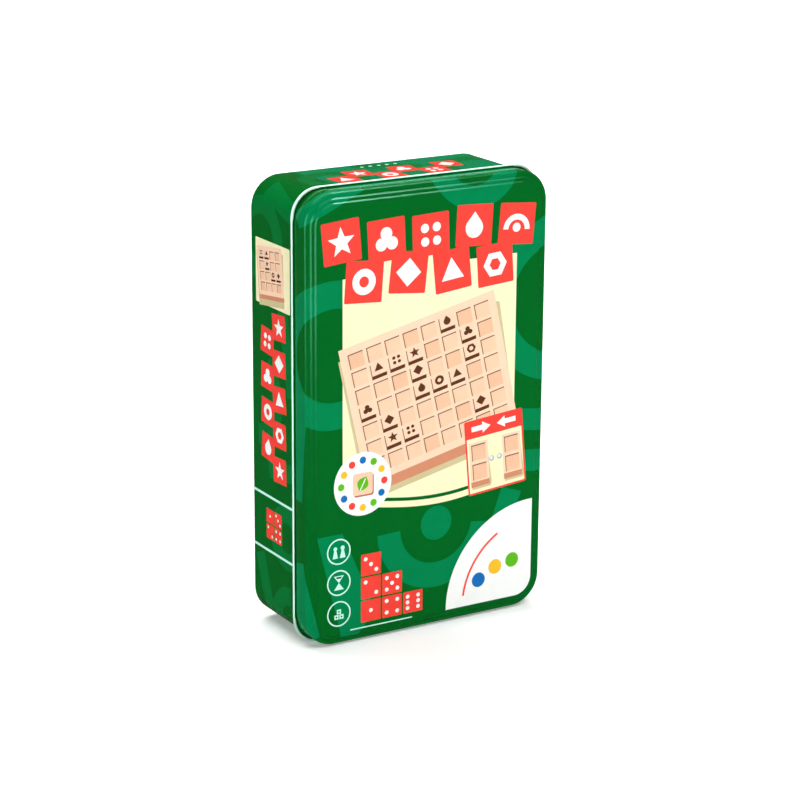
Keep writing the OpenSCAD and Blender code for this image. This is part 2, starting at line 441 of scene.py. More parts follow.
# ------------------------------------------------------------------- the lid
def make_lid(materials, shapes, base):
    B = Build()
    sh = Sheet(lid_profile())
    dmax = sh.d[-1]
    rings = [sh.flat_ring(d) for d in sh.d[1:-1]]
    edge = sh.flat_ring(dmax)
    loops = [edge, sh.flat_ring(0.0)] + rings
    for shape in shapes:
        loops += shape[1] + (shape[2] if len(shape) > 2 else [])
    P, F = tessellate(loops)
    cen = (P[F[:, 0]] + P[F[:, 1]] + P[F[:, 2]]) / 3
    F = F[inside(cen, [edge])]
    col = paint(P, F, shapes, base)
    pos, nor = sh.lift(P)
    ids = B.verts(pos)
    # bake coordinates: the outer pattern on the left, the inside on the right
    sc = 1.0 / 215.0
    uvp = np.stack([(P[:, 0] + 68.0) * sc + 0.004, (P[:, 1] + 106.5) * sc + 0.004], -1)
    B.faces(ids[F], nor[F], 0, col, uvp[F])
    # stations for the curl and the inside, at the pattern's own edge points
    ax, ay = np.abs(P[:, 0]), np.abs(P[:, 1])
    vx, vy = np.maximum(ax - CX, 0), np.maximum(ay - CY, 0)
    rr = np.hypot(vx, vy)
    used = np.unique(F)
    on = used[np.abs(rr[used] - (CR - CORE) - dmax) < 2e-2]
    n = np.stack([vx * np.sign(P[:, 0]), vy * np.sign(P[:, 1])], -1)[on] / rr[on][:, None]
    c = np.stack([np.clip(P[on, 0], -CX, CX), np.clip(P[on, 1], -CY, CY)], -1)
    base_p = c + n * (CR - CORE)
    ang = np.arctan2(pos[on, 1], pos[on, 0])
    order = np.argsort(ang)
    base_p, n = base_p[order], n[order]
    shift = curl_shift(n)
    r, cz = CURL_R, CURL_Z

    def start(s):
        oc = CURL_O + s
        a0 = np.arccos(np.clip((SK_OUT - oc) / r, -1, 1))
        a1 = PI + math.asin(0.35 / r)
        k = np.clip((s - 0.2) / 0.15, 0, 1)
        return a0 + (a1 - a0) * k, oc

    def foot(s):
        a, oc = start(s)
        return np.full_like(s, SK_OUT), cz + r * np.sin(a), np.ones_like(s), np.zeros_like(s)

    def foot_up(s):
        o, z, _, _ = foot(s)
        return o, z, np.zeros_like(s), np.ones_like(s)

    def on_curl(t):
        def f(s):
            a, oc = start(s)
            a = a + (-PI / 2 - a) * t
            return oc + r * np.cos(a), cz + r * np.sin(a), np.cos(a), np.sin(a)
        return f

    def web_in(s):
        a, oc = start(s)
        return oc + r * np.cos(a), cz + r * np.sin(a), np.zeros_like(s), np.ones_like(s)

    inner = offset_profile(lid_profile(), T)[::-1]
    inner = [q for q in inner if q[1] > 39.5 or q[0] < -0.5]
    edge_z = CURL_Z - CURL_R
    sections = [
        ([(SK_OUT, 38.2, 1, 0, 0), foot], 0),
        ([foot_up, web_in], 0),
        ([on_curl(k / 18) for k in range(6)], 0),
        ([on_curl(k / 18) for k in range(5, 19)], 2),
        ([(CURL_O, edge_z, 0, -1, 1), (SK_IN + 0.12, edge_z, 0, -1, 0)], 1),
        ([(SK_IN + 0.12 * (1 - math.sin(a)), edge_z + 0.12 * (1 - math.cos(a)), -math.sin(a), -math.cos(a), 0)
          for a in np.linspace(0, PI / 2, 4)] + [(o, z, no, nz, 0) for o, z, no, nz in inner], 1),
    ]

    def uv(U):
        V = np.array(U, float)
        V[..., 0] = 0.64 + (U[..., 1]) * 0.0042 * 2.2 + 0.002
        V[..., 1] = 0.004 + U[..., 0] / 620.0
        return V

    last, lid_ids = sweep(B, base_p, n, sections, shift, uv=uv, ink=base)
    # the flat middle of the inside
    sc2 = 0.2 / 106.0
    u = np.stack([0.79 + (last[:, 0] + 52) * sc2, 0.02 + (last[:, 1] + 90) * sc2], -1)
    B.faces(lid_ids[::-1][None, :], np.tile([0, 0, -1.0], (1, len(lid_ids), 1)), 1, None, u[::-1][None])
    ob = B.object("lid_shell_printed", materials, uv=True)
    return ob


# ---------------------------------------------------------------- the body
SEAM_Y = 32.25                  # middle of the lock seam on the right wall
SIDE = 2 * CY
ARC = PI / 2 * CR
ROUND = 2 * SIDE + 4 * CX + 4 * ARC


def wall_at(s):
    """Outline point and outward direction at s round the wall, which starts
    at the lock seam and runs counterclockwise."""
    s = np.asarray(s, float) + CY + SEAM_Y          # from the lower right corner's end
    s = np.mod(s, ROUND)
    x, y, nx, ny = (np.zeros_like(s) for _ in range(4))
    segs = [("l", (HW, -CY), (0, 1), (1, 0), SIDE), ("a", (CX, CY), 0.0, None, ARC),
            ("l", (CX, HL), (-1, 0), (0, 1), 2 * CX), ("a", (-CX, CY), PI / 2, None, ARC),
            ("l", (-HW, CY), (0, -1), (-1, 0), SIDE), ("a", (-CX, -CY), PI, None, ARC),
            ("l", (-CX, -HL), (1, 0), (0, -1), 2 * CX), ("a", (CX, -CY), 1.5 * PI, None, ARC)]
    run = 0.0
    for kind, p, d, nn, ln in segs:
        m = (s >= run - 1e-9) & (s <= run + ln + 1e-9)
        t = s[m] - run
        if kind == "l":
            x[m], y[m], nx[m], ny[m] = p[0] + d[0] * t, p[1] + d[1] * t, nn[0], nn[1]
        else:
            a = d + t / CR
            nx[m], ny[m] = np.cos(a), np.sin(a)
            x[m], y[m] = p[0] + CR * nx[m], p[1] + CR * ny[m]
        run += ln
    return np.stack([x, y], -1), np.stack([nx, ny], -1)


# s of the middle of each wall, for placing its print
S_TOP = (CY - SEAM_Y) + ARC + CX
S_LEFT = (CY - SEAM_Y) + ARC + 2 * CX + ARC + CY
S_BOTTOM = S_LEFT + CY + ARC + CX
S_RIGHT = ROUND - SEAM_Y
WALL_LO, WALL_HI = 0.8, 39.6


def make_body(materials, shapes, base):
    B = Build()
    brk = []
    run = CY - SEAM_Y
    for ln in (2 * CX, SIDE, 2 * CX):
        brk += [run + ARC * i / SEG for i in range(SEG + 1)]
        run += ARC + ln
    brk += [run + ARC * i / SEG for i in range(SEG + 1)]
    g = 0.22
    lines = [[(s, WALL_LO), (s, WALL_HI)] for s in brk + [g, ROUND - g]]
    zs = [WALL_LO, 6.0, 12.0, 18.0, 24.0, 30.0, 35.2, 36.0, 37.5, WALL_HI]
    ring = [(0, z) for z in zs] + [(s, WALL_HI) for s in [g] + brk + [ROUND - g]] + [(ROUND, z) for z in zs[::-1]]
    ring += [(s, WALL_LO) for s in ([g] + brk + [ROUND - g])[::-1]]
    ring = ring[::-1]
    loops = [ring]
    for shape in shapes:
        loops += shape[1] + (shape[2] if len(shape) > 2 else [])
    P, F = tessellate(loops, lines)
    cen = (P[F[:, 0]] + P[F[:, 1]] + P[F[:, 2]]) / 3
    F = F[inside(cen, [ring])]
    col = paint(P, F, shapes, base)
    xy, n2 = wall_at(np.clip(P[:, 0], 0, ROUND - 1e-7))
    end = (P[:, 0] < 1e-3) | (P[:, 0] > ROUND - 1e-3)
    xy[end] = (HW - 0.12, SEAM_Y)
    n2[end] = (1, 0)
    zz = P[:, 1].copy()
    for q in zs:
        zz[np.abs(zz - q) < 1e-3] = q
    pos = np.concatenate([xy, zz[:, None]], 1)
    nor = np.concatenate([n2, np.zeros((len(P), 1))], 1)
    ids = B.verts(pos)
    N = nor[F]
    k = 0.7071
    lo, hi = (P[F, 0].mean(1) < g), (P[F, 0].mean(1) > ROUND - g)
    N[lo] = (k, -k, 0)
    N[hi] = (k, k, 0)
    # bake coordinates: the wall in four strips
    q = ROUND / 4
    strip = np.clip((P[F, 0].mean(1) // q).astype(int), 0, 3)
    u = (P[F, 0] - strip[:, None] * q) * (0.96 / (q + 20)) + 0.03
    v = (P[F, 1] + strip[:, None] * 44.0) * (0.7 / 176.0) + 0.006
    B.faces(ids[F], N, 0, col, np.stack([u, v], -1))
    used = np.unique(F)
    # back edge, flange and inside share the lower edge's points
    on = used[np.abs(P[used, 1] - WALL_LO) < 1e-3]
    on = on[np.argsort(P[on, 0])]
    on = on[P[on, 0] < ROUND - 1e-3]
    bp, bn = xy[on], n2[on]
    br = 0.8
    core = bp - bn * CORE

    def uv(U):
        V = np.array(U, float)
        V[..., 0] = 0.02 + U[..., 0] * (0.96 / (ROUND + 6))
        V[..., 1] = 0.72 + U[..., 1] * 0.0026
        return V
    bend = [(-br + br * math.cos(a), br - br * math.sin(a), math.cos(a), -math.sin(a), 0)
            for a in np.linspace(0, PI / 2, 7)]
    fl = [(-br, 0, 0, -1, 0), (-2.85, 0, 0, -1, 0)]
    lip = [(-2.85 - 0.15 * math.sin(a), 0.15 - 0.15 * math.cos(a), -math.sin(a), -math.cos(a), 0)
           for a in np.linspace(0, PI, 7)]
    back = [(-2.85, T, 0, 1, 0), (-br, T, 0, 1, 0)]
    ri = br - T
    bend_in = [(-br + ri * math.sin(a), br - ri * math.cos(a), -math.sin(a), math.cos(a), 0)
               for a in np.linspace(0, PI / 2, 5)]
    rr, rz = 0.6, 43.9
    a0 = math.asin(0.52 / 0.6)
    inner = [(-T, br, -1, 0, 0), (-T, 12, -1, 0, 0), (-T, 24, -1, 0, 0), (-T, 36, -1, 0, 0),
             (-rr + rr * math.cos(a0), rz - rr * math.sin(a0), -1, 0, 0)]
    roll = [(-rr + rr * math.cos(a), rz + rr * math.sin(a), math.cos(a), math.sin(a), 0)
            for a in np.linspace(-a0, -2 * PI, 22)]
    neck = [(0, z, 1, 0, 0) for z in (rz, 42.4, 41.0, WALL_HI)]
    sweep(B, core, bn, [(bend, 0), (fl, 1), (lip, 1), (back, 1), (bend_in, 1), (inner, 1), (roll, 1), (neck, 1)],
          uv=uv, ink=base)
    # the folded seam inside the right wall
    def strip_box(x0, x1, y0, y1, z0, z1, b):
        pts = [(x1, y0 - 0.3), (x0 + b, y0), (x0, y0 + b), (x0, y1 - b), (x0 + b, y1), (x1, y1 + 0.3)]
        a = B.verts([(p[0], p[1], z0) for p in pts])
        c = B.verts([(p[0], p[1], z1) for p in pts])
        for i in range(len(pts) - 1):
            B.faces([[a[i], c[i], c[i + 1], a[i + 1]]], None, 1, None, [[(0.97, 0.72), (0.97, 0.9), (0.98, 0.9), (0.98, 0.72)]])
        B.faces([list(a)], None, 1, None, [[(0.98, 0.72 + 0.002 * i) for i in range(len(pts))]])
        B.faces([list(c[::-1])], None, 1, None, [[(0.985, 0.72 + 0.002 * i) for i in range(len(pts))]])
        B.faces([[a[0], a[-1], c[-1], c[0]]], None, 1, None, [[(0.99, 0.72), (0.991, 0.72), (0.991, 0.9), (0.99, 0.9)]])
    strip_box(HW - 0.6, HW - 0.2, SEAM_Y - 2.25, SEAM_Y + 2.25, 4, 43.4, 0.12)
    return B.object("body_wall_printed", materials, uv=True)


def make_base(materials):
    """The stamped plate in the back: rim, step and raised middle."""
    B = Build()
    t, sz = T, 0.75
    rb = sz - t
    out = [(-0.35, 3.3, 1, 0, 0), (-0.35, sz, 1, 0, 0)]
    bend = [(-0.8 + rb * math.cos(a), sz - rb * math.sin(a), math.cos(a), -math.sin(a), 0)
            for a in np.linspace(0, PI / 2, 5)]
    face = fillet_path([(-0.8, t), (-6.2, t), (-7.0, t + 1), (-9.5, t + 1)], 0.8, 6)
    face = [(o, z, -no, -nz) for o, z, no, nz in face]
    if face[0][3] > 0:
        face = [(o, z, -no, -nz) for o, z, no, nz in face]
    inn = [(o - t * no, z - t * nz, -no, -nz) for o, z, no, nz in face]
    ri = rb - t
    bend_in = [(-0.8 + ri * math.cos(a), sz - ri * math.sin(a), -math.cos(a), math.sin(a), 0)
               for a in np.linspace(PI / 2, 0, 5)]
    rim = [(-0.65, sz, -1, 0, 0), (-0.65, 3.3, -1, 0, 0)]
    top = [(-0.65, 3.3, 0, 1, 0), (-0.35, 3.3, 0, 1, 0)]

    def uv1(U):
        V = np.array(U, float)
        V[..., 0] = 0.55 + U[..., 1] * 0.012
        V[..., 1] = 0.01 + U[..., 0] / 600.0
        return V
    e1, i1 = sweep(B, ST_P, ST_N, [(out, 0), (bend, 0), ([(o, z, a, b, 0) for o, z, a, b in face], 0)], uv=uv1)
    sc = 0.5 / 108.0 * 0.98

    def cap(P, ids, flip, u0):
        u = np.stack([u0 + (P[:, 0] + 50) * sc, 0.01 + (P[:, 1] + 90) * sc], -1)
        nz = -1.0 if flip else 1.0
        o = slice(None, None, -1) if flip else slice(None)
        B.faces(ids[o][None, :], np.tile([0, 0, nz], (1, len(ids), 1)), 0, None, u[o][None])
    cap(e1, i1, True, 0.01)

    def uv2(U):
        V = np.array(U, float)
        V[..., 0] = 0.75 + U[..., 1] * 0.012
        V[..., 1] = 0.01 + U[..., 0] / 600.0
        return V
    ringsB = [(o, z, a, b, 0) for o, z, a, b in inn]
    e2, i2 = sweep(B, ST_P, ST_N, [([(-0.35, 3.3, 0, 1, 0), (-0.65, 3.3, 0, 1, 0)], 0),
                                   ([(-0.65, 3.3, -1, 0, 0), (-0.65, sz, -1, 0, 0)], 0),
                                   (bend_in[::-1], 0), (ringsB, 0)], uv=uv2)
    u = np.stack([0.52 + (e2[:, 0] + 50) * sc * 0.4 + 0.35, 0.01 + (e2[:, 1] + 90) * sc * 0.4], -1)
    B.faces(i2[None, :], np.tile([0, 0, 1.0], (1, len(i2), 1)), 0, None, u[None])
    return B.object("base_plate_stamped", materials, uv=True, col=False)


# ------------------------------------------------------------ printed shapes
INK = {k: lin(v) for k, v in {
    "green": (0, 100, 30), "tone": (0, 131, 76), "tone2": (0, 117, 50), "tone3": (0, 132, 80), "red": (250, 68, 58),
    "deep": (196, 40, 38), "cream": (254, 244, 200), "shade": (212, 196, 150), "white": (252, 252, 250),
    "mint": (196, 248, 232), "wood": (250, 206, 172), "wood2": (244, 194, 158), "wood3": (255, 216, 186),
    "edge": (214, 142, 108), "edge2": (186, 108, 76), "brown": (96, 50, 30), "line": (150, 92, 64),
    "blue": (30, 112, 190), "leaf": (98, 188, 30), "sun": (250, 196, 44), "steel": (176, 186, 190),
    "steel2": (226, 232, 234), "ink": (34, 40, 38)}.items()}


def circ(x, y, r, n=40):
    return [(x + r * math.cos(2 * PI * i / n), y + r * math.sin(2 * PI * i / n)) for i in range(n)]


def rect(x, y, w, h, r=0.0, rot=0.0, seg=6):
    """Rectangle about its middle, with rounded corners."""
    pts = []
    if r <= 0:
        pts = [(-w / 2, -h / 2), (w / 2, -h / 2), (w / 2, h / 2), (-w / 2, h / 2)]
    else:
        for q, (sx, sy) in enumerate(((1, 1), (-1, 1), (-1, -1), (1, -1))):
            for i in range(seg + 1):
                a = q * PI / 2 + i * PI / 2 / seg
                pts.append((sx * (w / 2 - r) + r * math.cos(a), sy * (h / 2 - r) + r * math.sin(a)))
    return move(pts, x, y, rot)


def move(pts, dx=0.0, dy=0.0, rot=0.0, k=1.0):
    c, s = math.cos(math.radians(rot)) * k, math.sin(math.radians(rot)) * k
    return [(dx + c * x - s * y, dy + s * x + c * y) for x, y in pts]


def band_arc(x, y, r0, r1, a0, a1, n=None):
    """Part of a ring, from a0 to a1 degrees."""
    n = n or max(6, int(abs(a1 - a0) / 6))
    A = [math.radians(a0 + (a1 - a0) * i / n) for i in range(n + 1)]
    return ([(x + r1 * math.cos(a), y + r1 * math.sin(a)) for a in A] +
            [(x + r0 * math.cos(a), y + r0 * math.sin(a)) for a in A[::-1]])


def star(x, y, r, r2, n=5, rot=90.0):
    return [(x + (r if i % 2 == 0 else r2) * math.cos(math.radians(rot + 180 / n * i)),
             y + (r if i % 2 == 0 else r2) * math.sin(math.radians(rot + 180 / n * i))) for i in range(2 * n)]


def ngon(x, y, r, n, rot=90.0):
    return [(x + r * math.cos(math.radians(rot + 360 / n * i)),
             y + r * math.sin(math.radians(rot + 360 / n * i))) for i in range(n)]


def drop(r):
    pts = [(r * math.cos(math.radians(a)), r * math.sin(math.radians(a)) - 0.25 * r) for a in range(-210, 31, 10)]
    return pts + [(0, 1.35 * r)]


def marks(kind, r):
    """White shapes for the small red squares: loops about (0, 0)."""
    if kind == 0:
        return [[circ(0, 0, r, 32)], [circ(0, 0, r * 0.42, 20)]]
    if kind == 1:
        return [[ngon(0, -0.15 * r, 1.15 * r, 3)]]
    if kind == 2:
        return [[ngon(0, 0, 1.1 * r, 4)]]
    if kind == 3:
        return [[star(0, -0.05 * r, 1.18 * r, 0.5 * r)]]
    if kind == 4:
        return [[drop(0.78 * r)]]
    if kind == 5:
        return [[circ(sx * 0.52 * r, sy * 0.52 * r, 0.36 * r, 20)] for sx in (-1, 1) for sy in (-1, 1)]
    if kind == 6:
        return [[ngon(0, 0, 1.05 * r, 6, 0)], [ngon(0, 0, 0.5 * r, 6, 0)]]
    if kind == 7:
        return [[circ(0, 0.48 * r, 0.5 * r, 24)], [circ(-0.46 * r, -0.3 * r, 0.5 * r, 24)],
                [circ(0.46 * r, -0.3 * r, 0.5 * r, 24)], [ngon(0, -0.2 * r, 0.5 * r, 3)]]
    return [[band_arc(0, -0.45 * r, 0.75 * r, 1.2 * r, 0, 180)], [circ(0, -0.3 * r, 0.36 * r, 20)]]


SECOND = {0: "red", 6: "red"}      # kinds whose second loop is a hole of the ground


def marked_square(x, y, w, kind, rot, ground="red", mark="white"):
    out = [(INK[ground], [rect(x, y, w, w, 0.035 * w, rot, 3)])]
    for i, lps in enumerate(marks(kind, 0.31 * w)):
        ink = ground if (kind in SECOND and i == 1) else mark
        out.append((INK[ink], [move(lp, x, y, rot) for lp in lps]))
    return out


def pips(x, y, w, count, rot=0.0, ink="white"):
    q, r = 0.27 * w, 0.095 * w
    at = {1: [(0, 0)], 2: [(-q, q), (q, -q)], 3: [(-q, q), (0, 0), (q, -q)],
          4: [(-q, q), (q, q), (-q, -q), (q, -q)], 5: [(-q, q), (q, q), (-q, -q), (q, -q), (0, 0)],
          6: [(-q, q), (q, q), (-q, 0), (q, 0), (-q, -q), (q, -q)]}[count]
    return [(INK[ink], [move(circ(a, b, r, 16), x, y, rot)]) for a, b in at]


def wooden_board(org, ax, bx, na, nb, thick, pieces, rng, fine=1.0):
    """A board of squares seen at a slant. ax and bx are one square's steps,
    pieces are (a, b, kind) of the small blocks that lie on it."""
    O, A, Bv = np.array(org, float), np.array(ax, float), np.array(bx, float)

    def at(a, b, h=0.0):
        p = O + A * a + Bv * b
        return (float(p[0]), float(p[1] + h))

    out = []
    m = 0.32                                     # margin of the frame, in squares
    lo, ha, hb = -m, na + m, nb + m
    # soft shadow, then the two edges that show, then the top
    for k, ink in ((2.6, "shade"), (1.4, "shade")):
        out.append((INK[ink], [[at(lo, lo, -thick - k), at(ha, lo, -thick - k), at(ha + 0.12 * k, hb - 0.2, -thick),
                                at(ha, hb, -thick), at(lo, hb, -thick)]]))
    out.append((INK["edge"], [[at(lo, lo), at(ha, lo), at(ha, lo, -thick), at(lo, lo, -thick)]]))
    out.append((INK["edge2"], [[at(ha, lo), at(ha, hb), at(ha, hb, -thick), at(ha, lo, -thick)]]))
    out.append((INK["wood3"], [[at(lo, lo), at(ha, lo), at(ha, hb), at(lo, hb)]]))
    g, t = 0.09, 0.055 * fine
    for i in range(na):
        for j in range(nb):
            k = 1 + 0.035 * (rng.random() - 0.5)
            c = INK["wood" if (i + j) % 3 else "wood2"] * k
            out.append((c, [[at(i + g, j + g), at(i + 1 - g, j + g), at(i + 1 - g, j + 1 - g), at(i + g, j + 1 - g)]]))
            out.append((INK["brown"], [[at(i + g, j + 1 - g - t), at(i + 1 - g, j + 1 - g - t),
                                        at(i + 1 - g, j + 1 - g), at(i + g, j + 1 - g)]]))
            out.append((INK["line"], [[at(i + g, j + g), at(i + g + t, j + g),
                                       at(i + g + t, j + 1 - g - t), at(i + g, j + 1 - g - t)]]))
    for a, b, kind in sorted(pieces, key=lambda q: (-q[1], q[0])):
        h = 0.2 * abs(Bv[1])
        e = 0.1
        q = [at(a + e, b + e, h), at(a + 1 - e, b + e, h), at(a + 1 - e, b + 1 - e, h), at(a + e, b + 1 - e, h)]
        out.append((INK["brown"], [[at(a + e, b + e), at(a + 1 - e, b + e), q[1], q[0]]]))
        out.append((INK["edge2"], [[at(a + 1 - e, b + e), at(a + 1 - e, b + 1 - e), q[2], q[1]]]))
        out.append((INK["wood3"] * 0.985, [q]))
        if kind is None:
            continue
        for i, lps in enumerate(marks(kind, 0.25)):
            ink = INK["wood3"] * 0.985 if (kind in SECOND and i == 1) else INK["brown"]
            out.append((ink, [[at(a + 0.5 + x, b + 0.5 + y, h) for x, y in lp] for lp in lps]))
    return out


def stroke(pts, w, closed=False):
    """A line of width w along points, square ended, as one loop a piece."""
    out = []
    n = len(pts)
    for i in range(n if closed else n - 1):
        (x0, y0), (x1, y1) = pts[i], pts[(i + 1) % n]
        L = math.hypot(x1 - x0, y1 - y0)
        ux, uy = (x1 - x0) / L, (y1 - y0) / L
        e = w * 0.5
        px, py = -uy * e, ux * e
        x0, y0, x1, y1 = x0 - ux * e * 0.4, y0 - uy * e * 0.4, x1 + ux * e * 0.4, y1 + uy * e * 0.4
        out.append([(x0 + px, y0 + py), (x0 - px, y0 - py), (x1 - px, y1 - py), (x1 + px, y1 + py)])
    return out


def ring_of(x, y, r, w, ink, n=44):
    return (INK[ink], [circ(x, y, r, n), circ(x, y, r - w, n)])


def icon(kind, x, y, r):
    """A round outline with a plain game sign in it."""
    out = [ring_of(x, y, r, 0.62, "mint")]
    if kind == 0:        # two pawns
        for dx, k in ((-0.3, 0.9), (0.32, 1.0)):
            cx = x + dx * r
            out.append((INK["mint"], [circ(cx, y + 0.28 * r * k, 0.17 * r * k, 18)]))
            out.append((INK["mint"], [[(cx - 0.24 * r * k, y - 0.5 * r), (cx + 0.24 * r * k, y - 0.5 * r),
                                       (cx + 0.09 * r, y + 0.16 * r * k), (cx - 0.09 * r, y + 0.16 * r * k)]]))
    elif kind == 1:      # sand glass
        w, h = 0.42 * r, 0.55 * r
        out.append((INK["mint"], [[(x - w, y + h), (x + w, y + h), (x, y)]]))
        out.append((INK["mint"], [[(x - w, y - h), (x + w, y - h), (x, y)]]))
        out.append((INK["green"], [[(x - w * 0.62, y + h * 0.86), (x + w * 0.62, y + h * 0.86), (x + w * 0.42, y + h * 0.6),
                                    (x - w * 0.42, y + h * 0.6)]]))
    else:                # a stack of blocks
        s = 0.36 * r
        for dx, dy in ((-0.5, -0.62), (0.5, -0.62), (0, 0.42)):
            cx, cy = x + dx * s * 1.18, y + dy * s * 1.1
            out.append((INK["mint"], [rect(cx, cy, s, s)]))
            out.append((INK["green"], [circ(cx, cy, s * 0.2, 12)]))
    return out


def face_print():
    rng = random.Random(5)
    S = []
    tone = INK["tone"]
    # big tonal shapes, over the steps and the skirt as well
    S.append((tone, [circ(-45, 29, 31, 72), circ(-45, 29, 19.5, 60)]))
    S.append((tone, [band_arc(64, 40, 24, 36, 96, 262, 40)]))
    S.append((tone, [rect(58, -13, 30, 9.5, 0, -9)]))
    S.append((tone, [rect(57, -31, 34, 9.5, 0, -9)]))
    S.append((tone, [rect(-48, 93, 34, 10, 0, 24)]))
    S.append((tone, [rect(-64, -12, 10.5, 40, 0, -5)]))
    S.append((tone, [[(-53, -47), (-41, -47), (-26, -82), (-33, -93), (-41.5, -93)]]))
    S.append((tone, [band_arc(4, -50, 17.5, 28.5, 182, 352, 40)]))
    S.append((tone, [circ(4, -50, 7.5, 36)]))
    S.append((tone, [rect(-61, -76, 11, 34, 0, 14)]))
    S.append((tone, [rect(34, -62, 10.5, 44, 0, -20)]))
    S.append((tone, [band_arc(22, 104, 12, 22, 190, 350, 30)]))
    S.append((tone, [[(-37, 97.2), (9, 97.2), (6, 106.5), (-33, 106.5)]]))
    S.append((tone, [[(12, 97.2), (42, 97.2), (46, 106.5), (9, 106.5)]]))
    # cream ground with a bowed lower edge
    low = [(-41 + 83 * i / 24, -35.5 - 6.0 * math.sin(PI * (i / 24) ** 1.15)) for i in range(25)]
    S.append((INK["cream"], [low + [(42, 61.5), (8, 61.5), (8, 66), (-35, 66), (-35, 60), (-41, 60)]]))
    lin2 = [(x, y + 4.2) for x, y in low]
    S.append((INK["green"], [lin2 + [(x, y - 1.5) for x, y in lin2[::-1]]]))
    # the board in the middle
    pieces = [(1, 5, 1), (2, 5, 5), (3, 5, 3), (3, 4, 2), (3, 3, 4), (4, 3, 0), (5, 3, 1), (6, 5, 7), (6, 4, 6),
              (1, 2, 2), (1, 1, 3), (2, 1, 5), (6, 1, 2), (5, 6, 4), (0, 3, 7)]
    S += wooden_board((-27.5, -25.0), (8.55, 1.9), (-1.75, 7.7), 8, 7, 4.6, pieces, rng)
    # red squares in a zigzag along the top
    kinds = [3, 0, 7, 2, 5, 1, 4, 6, 8]
    turns = [5, -4, 3, -6, 2, 6, -3, 4, -5]
    for i, (k, a) in enumerate(zip(kinds, turns)):
        S += marked_square(-41.5 + 10.4 * i, (74.5 if i % 2 == 0 else 58.5) + (0.9 if i % 3 == 0 else -0.6), 17.4, k, a)
    # round badge on the left
    bx, by = -31.5, -27.0
    S.append((INK["white"], [circ(bx, by, 13.6, 72)]))
    cols = ["red", "sun", "leaf", "blue"]
    for i in range(12):
        a = 2 * PI * i / 12
        S.append((INK[cols[i % 4]], [circ(bx + 10.2 * math.cos(a), by + 10.2 * math.sin(a), 1.55, 18)]))
    S.append((INK["edge2"], [rect(bx + 0.5, by - 0.7, 9.4, 9.4, 1.2)]))
    S.append((INK["wood"], [rect(bx, by, 9.4, 9.4, 1.2)]))
    leaf = [(2.7 * math.sin(PI * q / 12), -3.4 + 6.8 * q / 12) for q in range(13)]
    leaf += [(-2.7 * math.sin(PI * q / 12), -3.4 + 6.8 * q / 12) for q in range(11, 0, -1)]
    S.append((INK["leaf"], [move(leaf, bx, by, -28)]))
    S.append((INK["white"], [rect(bx, by - 0.3, 0.45, 5.6, 0, -28)]))
    # framed card on the right
    cx, cy, w, h, rot = 33.0, -23.5, 29.0, 33.0, 5.0

    def card(lp):
        return move(lp, cx, cy, rot)
    S.append((INK["red"], [rect(cx, cy, w, h, 0.8, rot, 3)]))
    S.append((INK["cream"], [card(rect(0, -3.6, w - 1.6, h - 8.8, 0.3, 0, 2))]))
    for sx in (-1, 1):                      # two blocks that face each other
        ox = sx * 8.2
        S.append((INK["shade"], [card([(ox - 4.2, -14.2), (ox + 5.0, -14.2), (ox + 5.6, -12.6), (ox + 4.4, 4.2), (ox - 4.2, 4.2)])]))
        S.append((INK["edge"], [card([(ox - 4.6, -13.2), (ox + 4.6, -13.2), (ox + 4.6, -10.8), (ox - 4.6, -10.8)])]))
        S.append((INK["wood3"], [card([(ox - 4.6, -10.8), (ox + 4.6, -10.8), (ox + 4.6, 6.6), (ox - 4.6, 6.6)])]))
        for k in range(2):
            S.append((INK["wood2"], [card(rect(ox, -6.6 + 8.6 * k, 7.0, 7.0, 0))]))
            S.append((INK["brown"], [card(rect(ox, -6.6 + 8.6 * k + 3.3, 7.0, 0.45, 0))]))
            S.append((INK["line"], [card(rect(ox - 3.3, -6.6 + 8.6 * k - 0.2, 0.4, 6.6, 0))]))
        S.append((INK["steel"], [card(circ(sx * 2.0, -2.3, 1.25, 22))]))
        S.append((INK["steel2"], [card(circ(sx * 2.0 - 0.15, -2.1, 0.8, 18))]))
        # arrow in the head of the card
        S.append((INK["white"], [card([(sx * 11.0, 11.4), (sx * 11.0, 13.6), (sx * 5.6, 13.6), (sx * 5.6, 15.0),
                                       (sx * 1.6, 12.5), (sx * 5.6, 10.0), (sx * 5.6, 11.4)])]))
    # stair of small red squares
    n = 1
    for c in range(3):
        for r in range(3 - c):
            x, y = -27.5 + 10.2 * c, -83.0 + 10.2 * r
            S.append((INK["red"], [rect(x, y, 9.5, 9.5, 0.3, 0, 2)]))
            S += pips(x, y, 9.5, n)
            n += 1
    S += [(INK["mint"], [rect(-22.4, -89.9, 29.9, 0.55)])]
    for k in range(3):
        S += icon(k, -42.8, -54.5 - 13.6 * k, 5.6)
    # white quarter disc in the corner, kept inside the raised panel
    clip = outline(-4.85)
    R = 43.0
    S.append((INK["white"], [circ(52.2, -90.2, R, 120)], [clip]))
    for (x, y, k) in ((25.5, -79.5, "blue"), (33.8, -75.0, "sun"), (42.4, -73.4, "leaf")):
        S.append((INK[k], [circ(x, y, 3.3, 30)]))
    S.append((INK["red"], [band_arc(52.2, -90.2, 34.2, 35.2, 120, 172, 26)]))
    return S


def on_wall(which):
    """Turns a wall's own (right, up) millimetres into the unrolled plane."""
    h = 18.2
    if which == "left":
        return lambda x, y: (S_LEFT - y, x + h)
    if which == "right":
        return lambda x, y: (y - SEAM_Y, h - x)
    if which == "top":
        return lambda x, y: (S_TOP - x, h - y)
    return lambda x, y: (S_BOTTOM + x, h + y)


